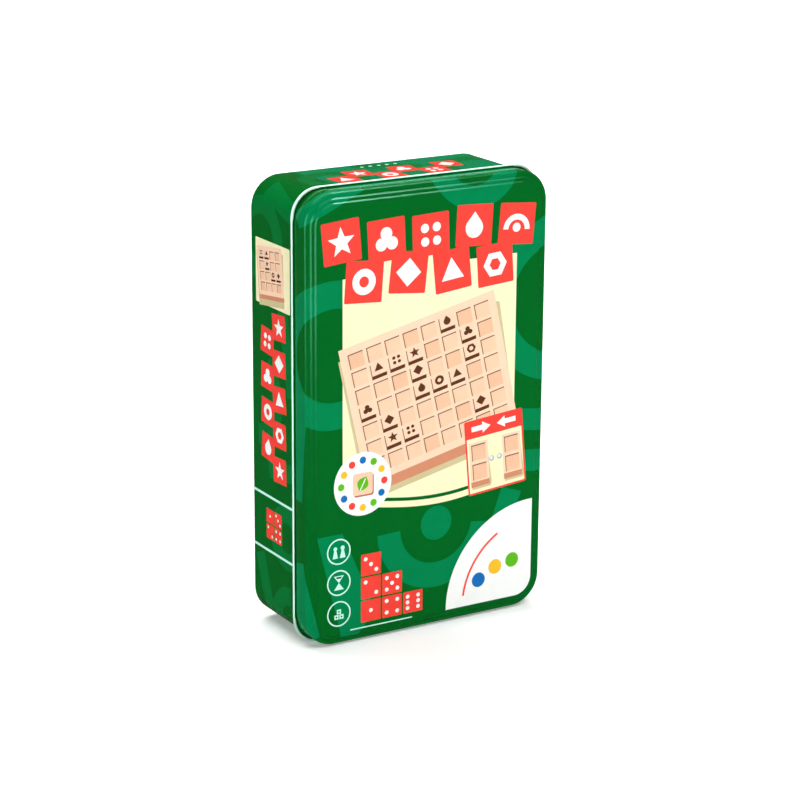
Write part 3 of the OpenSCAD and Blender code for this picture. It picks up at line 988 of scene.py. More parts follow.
def cut(lp, lo, hi):
    """The part of a loop inside the box from lo to hi."""
    for ax in (0, 1):
        for lim, s in ((lo[ax], 1.0), (hi[ax], -1.0)):
            out = []
            for i in range(len(lp)):
                p, q = lp[i - 1], lp[i]
                dp, dq = s * (p[ax] - lim), s * (q[ax] - lim)
                if (dp < 0) != (dq < 0):
                    t = dp / (dp - dq)
                    m = [p[0] + t * (q[0] - p[0]), p[1] + t * (q[1] - p[1])]
                    m[ax] = lim
                    out.append(tuple(m))
                if dq >= 0:
                    out.append(q)
            lp = out
            if len(lp) < 3:
                return []
    return lp


def wall_print():
    rng = random.Random(9)
    tone, out = INK["tone2"], []

    def put(which, shapes, keep=(WALL_LO, 35.9)):
        f = on_wall(which)
        for shape in shapes:
            loops = []
            for lp in shape[1]:
                q = [f(x, y) for x, y in lp]
                for turn_by in (0.0, ROUND):        # the walls meet at the lock seam
                    w = cut([(x + turn_by, y) for x, y in q], (0.4, keep[0]), (ROUND - 0.4, keep[1]))
                    if len(w) > 2 and abs(loop_area(w)) > 1e-4:
                        loops.append(w)
            if loops:
                out.append((shape[0], loops))

    def side(flip):
        L = []
        L.append((tone, [circ(-9, 71, 18, 54), circ(-9, 71, 10, 44)]))
        L.append((tone, [rect(7, 88, 34, 8, 0, -18)]))
        L.append((tone, [rect(12, 29, 8, 40, 0, 12)]))
        L.append((tone, [band_arc(-13, 4, 12, 21, -90, 62, 30)]))
        L.append((tone, [rect(9, -24, 26, 8, 0, 8)]))
        L.append((tone, [circ(11, -52, 14, 44), circ(11, -52, 6.5, 36)]))
        L.append((tone, [rect(-8, -77, 8, 26, 0, 20)]))
        L.append((tone, [band_arc(14, -90, 9, 17, 90, 220, 20)]))
        # cream patch with a small board
        L.append((INK["cream"], [rect(0.5, 57.5, 29, 27, 0.6, 0, 3)]))
        L += wooden_board((-9.6, 49.0), (4.55, 0.55), (-0.55, 4.3), 4, 4, 1.8,
                          [(0, 3, 5), (1, 3, 1), (1, 2, 3), (2, 1, 0), (3, 1, 2)], rng, 1.3)
        # red squares, staggered down the wall
        kinds, turns = [3, 5, 2, 7, 1, 0, 6, 4, 3], [4, -5, 3, -3, 6, -4, 2, -6, 3]
        for i, (k, a) in enumerate(zip(kinds, turns)):
            L += marked_square(-4.6 if i % 2 else 5.4, 36.6 - 7.6 * i, 11.0, k, a)
        for y in (-38.0, -62.0):
            L.append((INK["mint"], [rect(0, y, 44, 1.15)]))
        n = 1
        for a in (-1, 1):
            for b in (1, -1):
                L.append((INK["red"], [rect(3.45 * a, -50 + 3.45 * b, 6.3, 6.3, 0.2, 0, 2)]))
                L += pips(3.45 * a, -50 + 3.45 * b, 6.3, n)
                n += 1
        return L

    def end():
        L = []
        L.append((INK["tone3"], [[(-34, -18.5), (47, -18.5), (53, 18.5), (-38, 18.5)]]))
        L.append((tone, [circ(-30, -4, 15, 48), circ(-30, -4, 8, 36)]))
        L.append((tone, [rect(2, 9, 9, 30, 0, 62)]))
        L.append((tone, [band_arc(38, -9, 12, 20, 10, 190, 30)]))
        kinds, turns = [1, 3, 0, 7, 5, 2], [5, -4, 4, -5, 3, -4]
        for i, (k, a) in enumerate(zip(kinds, turns)):
            L += marked_square(-26.5 + 10.6 * i, (-6.2 if i % 2 == 0 else 1.6), 11.2, k, a)
        for i in range(5):
            L.append((INK["mint"], [circ(-8 + 4 * i, 12.2, 0.8, 14)]))
        return L
    put("left", side(False))
    put("right", side(True))
    put("top", end())
    put("bottom", [q for q in end() if tuple(q[0]) in (tuple(tone), tuple(INK["tone3"]))])
    return out


# ------------------------------------------------------- wooden pieces, insert
def rr_loop(w, h, r, seg=4):
    """Rounded rectangle about (0, 0): points and outward directions."""
    pts, nor = [], []
    for q, (sx, sy) in enumerate(((1, 1), (-1, 1), (-1, -1), (1, -1))):
        for i in range(seg + 1):
            a = q * PI / 2 + i * PI / 2 / seg
            pts.append((sx * (w / 2 - r) + r * math.cos(a), sy * (h / 2 - r) + r * math.sin(a)))
            nor.append((math.cos(a), math.sin(a)))
    return np.array(pts), np.array(nor)


def round_loop(pts, rad, seg=4):
    """Closed polygon with rounded corners: points and outward directions.
    rad is one radius, or one for each corner."""
    pts = [np.array(p, float) for p in pts]
    if loop_area(pts) < 0:
        pts = pts[::-1]
        rad = rad[::-1] if isinstance(rad, list) else rad
    P, Nn = [], []
    n = len(pts)
    for i in range(n):
        r0 = rad[i] if isinstance(rad, list) else rad
        p, a, b = pts[i], pts[i] - pts[i - 1], pts[(i + 1) % n] - pts[i]
        la, lb = np.linalg.norm(a), np.linalg.norm(b)
        a, b = a / la, b / lb
        cr = a[0] * b[1] - a[1] * b[0]
        ang = math.atan2(cr, a @ b)
        t = min(r0 * abs(math.tan(ang / 2)), 0.45 * la, 0.45 * lb)
        n0 = np.array([a[1], -a[0]])
        if t < 1e-6:
            P.append(p), Nn.append(n0)
            continue
        r = t / abs(math.tan(ang / 2))
        sg = 1.0 if cr > 0 else -1.0
        cen = p - a * t - n0 * r * sg
        for k in range(seg + 1):
            q = ang * k / seg
            c, s = math.cos(q), math.sin(q)
            m = np.array([c * n0[0] - s * n0[1], s * n0[0] + c * n0[1]])
            P.append(cen + m * r * sg)
            Nn.append(m)
    return np.array(P), np.array(Nn)


def loft(B, pts, nor, prof, mat=0, place=None, col=None, skip=()):
    """Rings of the loop pts, each moved out by the profile's offset and set at
    its height, joined by quads. Returns the first and the last ring."""
    rings, norm = [], []
    for o, z, no, nz in prof:
        p = np.concatenate([pts + nor * o, np.full((len(pts), 1), z)], 1)
        q = np.concatenate([nor * no, np.full((len(pts), 1), nz)], 1)
        if place is not None:
            p, q = place(p, False), place(q, True)
        rings.append(p)
        norm.append(q)
    ids = [B.verts(p) for p in rings]
    n = len(pts)
    i = np.array([k for k in range(n) if k not in skip])
    j = (i + 1) % n
    for k in range(len(prof) - 1):
        B.faces(np.stack([ids[k][i], ids[k][j], ids[k + 1][j], ids[k + 1][i]], -1),
                np.stack([norm[k][i], norm[k][j], norm[k + 1][j], norm[k + 1][i]], 1), mat, col)
    return rings[0], rings[-1]


def cap(B, ring, normal, mat=0, col=None):
    ids = B.verts(ring)
    B.faces(ids[None, :], np.tile(np.array(normal, float), (1, len(ids), 1)), mat, col)


def flat_face(B, outer, holes, z, nz, mat=0, shapes=(), base=(0, 0, 0), place=None):
    """Flat face with holes at height z, drawn by triangles, with shapes printed
    on it."""
    loops = [outer] + list(holes)
    for s in shapes:
        loops += s[1]
    P, F = tessellate(loops)
    cen = (P[F[:, 0]] + P[F[:, 1]] + P[F[:, 2]]) / 3
    keep = inside(cen, [outer])
    for h in holes:
        keep &= ~inside(cen, [h])
    F = F[keep]
    col = paint(P, F, shapes, base)
    pos = np.concatenate([P, np.full((len(P), 1), z)], 1)
    nor = np.tile([0, 0, float(nz)], (len(F), 3, 1))
    if place is not None:
        pos = place(pos, False)
        nor = place(nor.reshape(-1, 3), True).reshape(-1, 3, 3)
    ids = B.verts(pos)
    B.faces(ids[F], nor, mat, col)


def arc_prof(o0, z0, r, a0, a1, seg=4, sign=1.0):
    """Rounded edge: centre (o0, z0), radius r, from a0 to a1 degrees."""
    A = [math.radians(a0 + (a1 - a0) * i / seg) for i in range(seg + 1)]
    return [(o0 + r * math.cos(a), z0 + r * math.sin(a), sign * math.cos(a), sign * math.sin(a)) for a in A]


def shifted(dx, dy, dz=0.0):
    d = np.array([dx, dy, dz])
    return lambda p, is_n: p if is_n else p + d


BOARD_X, FLOOR_Z, GAP = -25.7, 2.9, 0.1
CELL, PW, PL, PT, SOCK, SDEEP = 18.0, 54.0, 162.0, 9.5, 15.7, 3.0
MAG_Y = (-54.0, 0.0, 54.0)
MAG_Z = (PT - SDEEP) / 2


def make_panel(name, level, sides, mats):
    B = Build()
    z0 = FLOOR_Z + GAP + level * (PT + GAP)
    at = shifted(BOARD_X, 0, z0)
    b, e = 0.5, 0.28
    op, on = rr_loop(PW, PL, 1.1, 4)
    top_out = op + on * -b
    holes = []
    for i in range(3):
        for j in range(9):
            hp, hn = rr_loop(SOCK, SOCK, 0.9, 3)
            c = np.array([-PW / 2 + (i + 0.5) * CELL, -PL / 2 + (j + 0.5) * CELL])
            hp = hp + c
            holes.append(hp + hn * e)
            f = 0.4
            prof = [(e - e * math.sin(a) , PT - e + e * math.cos(a), -math.sin(a), math.cos(a)) for a in np.linspace(0, PI / 2, 4)]
            prof += [(-f + f * math.cos(a), PT - SDEEP + f - f * math.sin(a), -math.cos(a), math.sin(a)) for a in np.linspace(0, PI / 2, 4)]
            _, last = loft(B, hp, hn, prof, 0, at)
            cap(B, last, (0, 0, 1))
    flat_face(B, top_out, holes, PT, 1, 0, place=at)
    # long straight sides are indices where the outline runs from one corner to the next
    n = len(op)
    skip = []
    for k in range(n):
        p, q = op[k], op[(k + 1) % n]
        if abs(p[0] - q[0]) < 1e-6 and abs(p[1] - q[1]) > 50:
            if (1 if p[0] > 0 else -1) in sides:
                skip.append(k)
    loft(B, op, on, arc_prof(-b, PT - b, b, 90, 0), 0, at)
    loft(B, op, on, [(0, PT - b, 1, 0), (0, b, 1, 0)], 0, at, skip=skip)
    _, last = loft(B, op, on, arc_prof(-b, b, b, 0, -90), 0, at)
    cap(B, last, (0, 0, -1))
    for s in sides:
        y0, y1 = PL / 2 - 1.1, -PL / 2 + 1.1
        outer = [(y1, b), (y0, b), (y0, PT - b), (y1, PT - b)]
        r = 2.55 + 0.12
        hs = [[(y + r * math.cos(2 * PI * i / 32), MAG_Z + r * math.sin(2 * PI * i / 32)) for i in range(32)] for y in MAG_Y]

        def side(p, is_n, s=s):
            q = np.stack([p[:, 2] * s, p[:, 0], p[:, 1]], -1)
            return q if is_n else q + np.array([BOARD_X, 0, z0])
        flat_face(B, outer, hs, PW / 2, 1, 0, place=side)
        for h in hs:
            hp = np.array(h)
            c = hp.mean(0)
            hn = (hp - c) / np.linalg.norm(hp - c, axis=1)[:, None]
            hp0 = c + hn * 2.55
            prof = [(0.12 - 0.12 * math.sin(a), PW / 2 - 0.12 + 0.12 * math.cos(a), -math.sin(a), math.cos(a))
                    for a in np.linspace(0, PI / 2, 3)] + [(0, PW / 2 - 3.1, -1, 0)]
            _, last = loft(B, hp0, hn, prof, 0, side)
            cap(B, last, (float(s), 0, 0))
    ob = B.object(name + "_wood", mats, col=False)
    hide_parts(name)
    return ob


def make_magnets(name, level, s, mats):
    B = Build()
    z0 = FLOOR_Z + GAP + level * (PT + GAP)
    hp, hn = [], []
    for i in range(36):
        a = 2 * PI * i / 36
        hn.append((math.cos(a), math.sin(a)))
    hn = np.array(hn)
    for y in MAG_Y:
        def side(p, is_n, s=s, y=y):
            q = np.stack([p[:, 2] * s, p[:, 0], p[:, 1]], -1)
            return q if is_n else q + np.array([BOARD_X, y, z0 + MAG_Z])
        r = 0.22
        prof = arc_prof(-r, PW / 2 - r, r, 90, 0, 3) + arc_prof(-r, PW / 2 - 3 + r, r, 0, -90, 3)
        a, b = loft(B, hn * 2.5, hn, prof, 0, side)
        cap(B, a, (float(s), 0, 0))
        cap(B, b, (-float(s), 0, 0))
    ob = B.object(name + "_discs", mats, col=False)
    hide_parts(name)
    return ob


def make_rack(name, place, mats):
    B = Build()
    w, h, L = 23.4, 15.5, 108.0
    col, rw = place % 2, place // 2
    x0 = 29.25 + (-1 if col == 0 else 1) * (w / 2 + 0.15)
    z0 = FLOOR_Z + GAP + rw * (h + GAP)
    y1 = -33.45 + L / 2
    prof = [(0, 0), (w, 0), (w, h), (w - 3, h), (8, 4.8), (4.6, 8.7), (2.2, 8.7), (0, 6.5)]
    P, Nn = round_loop(prof, [0.6, 0.6, 0.9, 0.9, 0.6, 0.7, 0.6, 0.6], 4)

    def at(p, is_n):
        # profile (x, z) runs along -y from the rack's upper end
        q = np.stack([p[:, 0], -p[:, 2], p[:, 1]], -1)
        return q if is_n else q + np.array([x0 - w / 2, y1, z0])
    b = 0.5
    pr = [(-b + b * math.sin(a), b - b * math.cos(a), math.sin(a), -math.cos(a)) for a in np.linspace(0, PI / 2, 5)]
    pr += [(0, L * k / 4, 1, 0) for k in (1, 2, 3)]
    pr += [(-b + b * math.cos(a), L - b + b * math.sin(a), math.cos(a), math.sin(a)) for a in np.linspace(0, PI / 2, 5)]
    a0, a1 = loft(B, P, Nn, pr, 0, at)
    cap(B, a0, (0, 1, 0))
    cap(B, a1, (0, -1, 0))
    ob = B.object(name + "_wood", mats, col=False)
    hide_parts(name)
    return ob


# Plain stroke letters and figures on a field 10 wide and 14 high. A part is a
# run of points; ("a", x, y, rx, ry, from, to) is a bow, in degrees.
GLYPH = {
    "A": [[(0.5, 0), (5, 14), (9.5, 0)], [(2.2, 4.6), (7.8, 4.6)]],
    "B": [[(1.2, 0), (1.2, 14), (5, 14)], ("a", 5, 10.7, 3.2, 3.3, 90, -90), [(5, 7.4), (1.2, 7.4)],
          ("a", 5.2, 3.7, 3.8, 3.7, 90, -90), [(5.2, 0), (1.2, 0)]],
    "C": [("a", 5.6, 7, 4.8, 7, 48, 312)],
    "D": [[(1.2, 0), (1.2, 14), (4, 14)], ("a", 4, 7, 5.2, 7, 90, -90), [(4, 0), (1.2, 0)]],
    "E": [[(9, 14), (1.5, 14), (1.5, 0), (9, 0)], [(1.5, 7.2), (7.6, 7.2)]],
    "F": [[(9, 14), (1.5, 14), (1.5, 0)], [(1.5, 7.2), (7.6, 7.2)]],
    "G": [("a", 5.4, 7, 4.8, 7, 48, 345), [(5.8, 5.6), (10.0, 5.6), (10.0, 1.2)]],
    "H": [[(1.2, 0), (1.2, 14)], [(8.8, 0), (8.8, 14)], [(1.2, 7.2), (8.8, 7.2)]],
    "I": [[(5, 0), (5, 14)]],
    "L": [[(1.8, 14), (1.8, 0), (9, 0)]],
    "M": [[(0.6, 0), (0.6, 14), (5, 5), (9.4, 14), (9.4, 0)]],
    "N": [[(1.2, 0), (1.2, 14), (8.8, 0), (8.8, 14)]],
    "O": [("a", 5, 7, 5, 7, 0, 360)],
    "P": [[(1.6, 0), (1.6, 14), (5, 14)], ("a", 5, 10.3, 3.9, 3.7, 90, -90), [(5, 6.6), (1.6, 6.6)]],
    "Q": [("a", 5, 7, 5, 7, 0, 360), [(5.8, 3.4), (9.6, -0.6)]],
    "R": [[(1.4, 0), (1.4, 14), (5, 14)], ("a", 5, 10.4, 3.8, 3.6, 90, -90), [(5, 6.8), (1.4, 6.8)], [(5, 6.8), (9.2, 0)]],
    "S": [("a", 5, 10.4, 3.9, 3.6, 30, 240), ("a", 5, 3.7, 4.2, 3.7, 72, -150)],
    "T": [[(0.6, 14), (9.4, 14)], [(5, 14), (5, 0)]],
    "U": [[(1, 14), (1, 4.4)], ("a", 5, 4.4, 4, 4.4, 180, 360), [(9, 4.4), (9, 14)]],
    "V": [[(0.5, 14), (5, 0), (9.5, 14)]],
    "X": [[(0.8, 0), (9.2, 14)], [(0.8, 14), (9.2, 0)]],
    "Z": [[(1, 14), (9, 14), (1, 0), (9, 0)]],
    "1": [[(2.6, 11.2), (5.4, 14), (5.4, 0)]],
    "2": [("a", 5, 10.2, 3.9, 3.8, 165, -35), [(8.2, 8.0), (1.2, 0), (9, 0)]],
    "3": [("a", 4.8, 10.6, 3.7, 3.4, 150, -90), ("a", 4.8, 3.6, 4.1, 3.6, 90, -150)],
    "4": [[(7, 0), (7, 14), (1, 4.4), (9.4, 4.4)]],
}


def glyph(ch, x, y, size, w):
    """Loops of one letter, size high, its middle at (x, y)."""
    k, out = size / 14.0, []
    for part in GLYPH[ch]:
        if isinstance(part, tuple):
            _, cx, cy, rx, ry, a0, a1 = part
            n = max(6, int(abs(a1 - a0) / 14))
            part = [(cx + rx * math.cos(math.radians(a0 + (a1 - a0) * i / n)),
                     cy + ry * math.sin(math.radians(a0 + (a1 - a0) * i / n))) for i in range(n + 1)]
        pts = [(x + (px - 5) * k, y + (py - 7) * k) for px, py in part]
        for lp in stroke(pts, w):
            out.append(lp)
        for p in pts[1:-1]:
            out.append(circ(p[0], p[1], w / 2 * 0.99, 10))
    return out


LETTERS = ("XERAUTMIQODGLSNBHFPCVZ" * 5)


def make_tiles(name, r, c, mats):
    B = Build()
    w, t = 15.2, 4.2
    P, Nn = rr_loop(w, w, 1.1, 4)
    b = 0.5
    x, y = 29.25 + (c - 1) * 15.6, 56.4 + (1.5 - r) * 15.6
    rng = random.Random(100 + r * 3 + c)
    top_ch = ["XER", "AUT", "MIQ", "ODG"][r][c]
    for k in range(8):
        z = FLOOR_Z + GAP + k * 4.25
        # loose tiles never lie quite square on each other
        q = math.radians(rng.uniform(-0.35, 0.35))
        d = (rng.uniform(-0.05, 0.05), rng.uniform(-0.05, 0.05))

        def at(p, is_n, q=q, d=d, z=z):
            cc, ss = math.cos(q), math.sin(q)
            v = np.stack([cc * p[:, 0] - ss * p[:, 1], ss * p[:, 0] + cc * p[:, 1], p[:, 2]], -1)
            return v if is_n else v + np.array([x + d[0], y + d[1], z])
        ch = top_ch if k == 7 else rng.choice(LETTERS)
        tone = np.array([1.0, 0.985, 0.96]) * rng.uniform(0.88, 1.04)
        prof = arc_prof(-b, t - b, b, 90, 0, 4) + arc_prof(-b, b, b, 0, -90, 4)
        _, last = loft(B, P * 0.9985, Nn, prof, 0, at, tone)
        cap(B, last, (0, 0, -1.0), 0, tone)
        outer = P * 0.9985 - Nn * b
        shapes = [(np.array([0.035, 0.028, 0.026]), [lp]) for lp in glyph(ch, 0, 0.2, 7.6, 1.15)]
        flat_face(B, outer, [], t, 1, 0, shapes=shapes, base=tone, place=at)
    ob = B.object(name + "_wood", mats)
    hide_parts(name)
    return ob


def make_insert(mats):
    """Moulded sheet: deck with rounded edges, three pockets, two finger
    notches and a turned-down skirt, each with both sides of the sheet."""
    B = Build()
    sheet, deck = 0.7, 38.0
    hx, hy, r = HW - 1.5, HL - 1.5, CR - 1.5
    op, on = rr_loop(2 * hx, 2 * hy, r, 10)
    x0, x1, by, rc = BOARD_X - 27.6, BOARD_X + 27.6, 81.7, 1.2
    nx0, nx1, ny = BOARD_X - 12, BOARD_X + 12, 90.4
    merged = [(x0, -by), (nx0, -by), (nx0, -ny), (nx1, -ny), (nx1, -by), (x1, -by),
              (x1, by), (nx1, by), (nx1, ny), (nx0, ny), (nx0, by), (x0, by)]
    rm = [1.2, rc, 4.0, 4.0, rc, 1.2, 1.2, rc, 4.0, 4.0, rc, 1.2]
    px0, px1 = 29.25 - 23.95, 29.25 + 23.95
    tile = [(px0, 56.4 - 31.75), (px1, 56.4 - 31.75), (px1, 56.4 + 31.75), (px0, 56.4 + 31.75)]
    rack = [(px0, -33.45 - 54.7), (px1, -33.45 - 54.7), (px1, -33.45 + 54.7), (px0, -33.45 + 54.7)]
    f, g = 0.6, 0.5

    def tuck(p, is_n):
        # under the deck the pockets' outer corners keep clear of the skirt
        if is_n:
            return p
        p = p.copy()
        dx, dy = np.abs(p[:, 0]) - (hx - r), np.abs(p[:, 1]) - (hy - r)
        d = np.hypot(np.maximum(dx, 0), np.maximum(dy, 0))
        k = np.where((dx > 0) & (dy > 0) & (d > r - 1.05), (r - 1.05) / np.maximum(d, 1e-9), 1.0)
        p[:, 0] = np.where(k < 1, np.sign(p[:, 0]) * (hx - r + dx * k), p[:, 0])
        p[:, 1] = np.where(k < 1, np.sign(p[:, 1]) * (hy - r + dy * k), p[:, 1])
        return p

    def foot(z):
        return [(-g + g * math.cos(a), z + g - g * math.sin(a), -math.cos(a), math.sin(a)) for a in np.linspace(0, PI / 2, 5)]

    def foot_under(z):
        q = g + sheet
        return [(-g + q * math.cos(a), z + g - q * math.sin(a), math.cos(a), -math.sin(a)) for a in np.linspace(0, PI / 2, 5)]
    down = [(f - f * math.sin(a), deck - f + f * math.cos(a), -math.sin(a), math.cos(a)) for a in np.linspace(0, PI / 2, 6)]
    fi = 0.2
    down_under = [(sheet + fi - fi * math.sin(a), deck - sheet - fi + fi * math.cos(a), math.sin(a), -math.cos(a))
                  for a in np.linspace(0, PI / 2, 4)]

    def under_ring(P, Nn):
        q = np.concatenate([P + Nn * (sheet + fi), np.zeros((len(P), 1))], 1)
        return tuck(q, False)[:, :2]
    holes, under = [], []
    for loop, rad in ((tile, [1.2, 1.2, 3.4, 1.2]), (rack, [1.2, 2.3, 1.2, 1.2])):
        P, Nn = round_loop(loop, rad, 5)
        _, last = loft(B, P, Nn, down + foot(FLOOR_Z), 0)
        cap(B, last, (0, 0, 1))
        holes.append(P + Nn * f)
        _, last = loft(B, P, Nn, down_under + foot_under(FLOOR_Z), 0, tuck)
        cap(B, last, (0, 0, -1))
        under.append(under_ring(P, Nn))
    # the panels' pocket: wider at its ends, above the notches' floors
    P, Nn = round_loop(merged, rm, 5)
    holes.append(P + Nn * f)
    under.append(under_ring(P, Nn))
    low = [(x0, -by), (nx0 - rc, -by), (nx1 + rc, -by), (x1, -by), (x1, by), (nx1 + rc, by), (nx0 - rc, by), (x0, by)]
    Q, Qn = round_loop(low, [1.2, 0, 0, 1.2, 1.2, 0, 0, 1.2], 5)
    for off, z, nz, wall, foot_of in ((0.0, 14.0, 1, down + [(0, 14.0, -1, 0)], foot),
                                      (sheet, 14.0 - sheet, -1, down_under + [(sheet, 14.0 - sheet, 1, 0)], foot_under)):
        loft(B, P, Nn, wall, 0)
        Po, Qo = P + Nn * off, Q + Qn * off
        Pm, F = tessellate([Po, Qo])
        cen = (Pm[F[:, 0]] + Pm[F[:, 1]] + Pm[F[:, 2]]) / 3
        F = F[inside(cen, [Po]) & ~inside(cen, [Qo]) & (np.abs(cen[:, 1]) > by + off - 1e-6)]
        ids = B.verts(np.concatenate([Pm, np.full((len(Pm), 1), z)], 1))
        B.faces(ids[F], np.tile([0, 0, float(nz)], (len(F), 3, 1)), 0)
        _, last = loft(B, Q, Qn, [(off, z, -nz, 0)] + foot_of(FLOOR_Z), 0)
        cap(B, last, (0, 0, nz))
    # deck and skirt
    e = 0.6
    flat_face(B, op - on * e, holes, deck, 1, 0)
    flat_face(B, op - on * 0.9, under, deck - sheet, -1, 0)
    outer = arc_prof(-e, deck - e, e, 90, 0, 5) + [(0, 12.35, 1, 0)] + \
        [(-0.35 + 0.35 * math.cos(a), 12.35 - 0.35 * math.sin(a), math.cos(a), -math.sin(a)) for a in np.linspace(0.3, PI - 0.3, 5)] + \
        [(-0.7, 12.35, -1, 0), (-0.7, deck - 0.9, -1, 0)] + \
        [(-0.9 + 0.2 * math.cos(a), deck - 0.9 + 0.2 * math.sin(a), -math.cos(a), -math.sin(a)) for a in np.linspace(0.4, PI / 2, 4)]
    loft(B, op, on, outer, 0)
    ob = B.object("insert_tray_moulded", mats, col=False)
    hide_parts("insert_tray")
    return ob


def leaflet_print():
    S = []
    grey, green, red = lin((120, 124, 122)), INK["green"], INK["red"]
    S.append((green, [rect(0, 61.5, 80, 9.5, 1.0)]))
    for i, k in enumerate((3, 1, 5, 2, 7)):
        for j, lps in enumerate(marks(k, 2.4)):
            S.append((green if k in SECOND and j == 1 else INK["white"], [move(lp, -30 + 15 * i, 61.5) for lp in lps]))
    y = 50.0
    for n, ch in enumerate("123"):
        S += [(red, [circ(-36, y - 2.2, 3.2, 28)])]
        S += [(INK["white"], [lp]) for lp in glyph(ch, -36, y - 2.2, 3.4, 0.6)]
        for i in range(6):
            S.append((grey, [rect(-30 + (34 - (9 if i == 5 else (i * 7) % 4)) / 2, y - 3.0 * i, 34 - (9 if i == 5 else (i * 7) % 4), 0.85)]))
        # a little picture beside it
        S.append((INK["cream"], [rect(24, y - 8.2, 32, 22, 0.8)]))
        if n == 0:
            for i in range(5):
                for j in range(3):
                    S.append((INK["wood"], [rect(15 + 4.6 * i, y - 12.6 + 4.6 * j, 4.1, 4.1)]))
                    S.append((INK["edge"], [rect(15 + 4.6 * i, y - 12.6 + 4.6 * j - 1.9, 4.1, 0.35)]))
        elif n == 1:
            for i in range(5):
                S.append((INK["wood"], [rect(13.4 + 5.3 * i, y - 7.4, 4.8, 4.8, 0.5)]))
                S.append((INK["brown"], [circ(13.4 + 5.3 * i, y - 7.4, 0.9, 14)]))
            S.append((INK["edge"], [rect(24, y - 11.4, 28, 2.0, 0.4)]))
        else:
            for sx in (-1, 1):
                S.append((INK["wood"], [rect(24 + sx * 6.4, y - 8.2, 9.6, 14, 0.3)]))
                S.append((INK["steel"], [circ(24 + sx * 1.1, y - 8.2, 0.9, 14)]))
        y -= 27.5
    for i in range(7):
        S.append((grey, [rect(-4 if i < 6 else -16, -36.5 - 3.6 * i, 72 if i < 6 else 48, 0.85)]))
    return S


def make_leaflet(mats):
    """Two sheets folded once together: each is a bent strip of paper."""
    B = Build()
    w, L, z0, t = 92.0, 140.0, 38.1, 0.24
    x1 = w / 2
    fold_x = -w / 2 + 0.6
    for k, (rad, end) in enumerate(((0.6, x1), (0.29, x1 - 0.35))):
        zc = z0 + 0.6
        # middle line of the sheet from its lower open edge round the fold
        path = [(end, zc - rad, 0, -1), (fold_x, zc - rad, 0, -1)]
        path += [(fold_x - rad * math.sin(a), zc - rad * math.cos(a), -math.sin(a), -math.cos(a)) for a in np.linspace(PI / 8, PI * 7 / 8, 7)]
        path += [(fold_x, zc + rad, 0, 1), (end, zc + rad, 0, 1)]
        n = len(path)
        out = [(x, z, a, b) for x, z, a, b in path]
        inn = [(x - a * t, z - b * t, -a, -b) for x, z, a, b in path]
        y0, y1 = -L / 2 + 0.12 * k, L / 2 - 0.12 * k
        for line, last_flat in ((out, k == 0), (inn, False)):
            for i in range(n - 1):
                if last_flat and i == n - 2:
                    continue
                p, q = line[i], line[i + 1]
                ids = B.verts([(p[0], y0, p[1]), (p[0], y1, p[1]), (q[0], y1, q[1]), (q[0], y0, q[1])])
                nn = [[(p[2], 0, p[3]), (p[2], 0, p[3]), (q[2], 0, q[3]), (q[2], 0, q[3])]]
                B.faces(ids[None], nn, 0, INK["white"] * 0.96)
        if k == 0:       # the printed front
            P, F = tessellate([[(fold_x, y0), (end, y0), (end, y1), (fold_x, y1)]] + [lp for s in LEAF for lp in s[1]])
            col = paint(P, F, LEAF, INK["white"] * 0.96)
            ids = B.verts(np.stack([P[:, 0], P[:, 1], np.full(len(P), zc + rad)], -1))
            B.faces(ids[F], np.tile([0, 0, 1.0], (len(F), 3, 1)), 0, col)
        for y, s in ((y0, -1.0), (y1, 1.0)):
            for i in range(n - 1):
                a, b, c, d = out[i], out[i + 1], inn[i + 1], inn[i]
                ids = B.verts([(v[0], y, v[1]) for v in (a, b, c, d)])
                B.faces(ids[None], np.tile([0, s, 0], (1, 4, 1)), 0, INK["white"] * 0.9)
        for i in (0, n - 1):
            a, b = out[i], inn[i]
            ids = B.verts([(a[0], y0, a[1]), (a[0], y1, a[1]), (b[0], y1, b[1]), (b[0], y0, b[1])])
            B.faces(ids[None], np.tile([1.0, 0, 0], (1, 4, 1)), 0, INK["white"] * 0.9)
    ob = B.object("rules_leaflet_folded", mats)
    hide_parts("rules_leaflet")
    return ob


LEAF = leaflet_print()




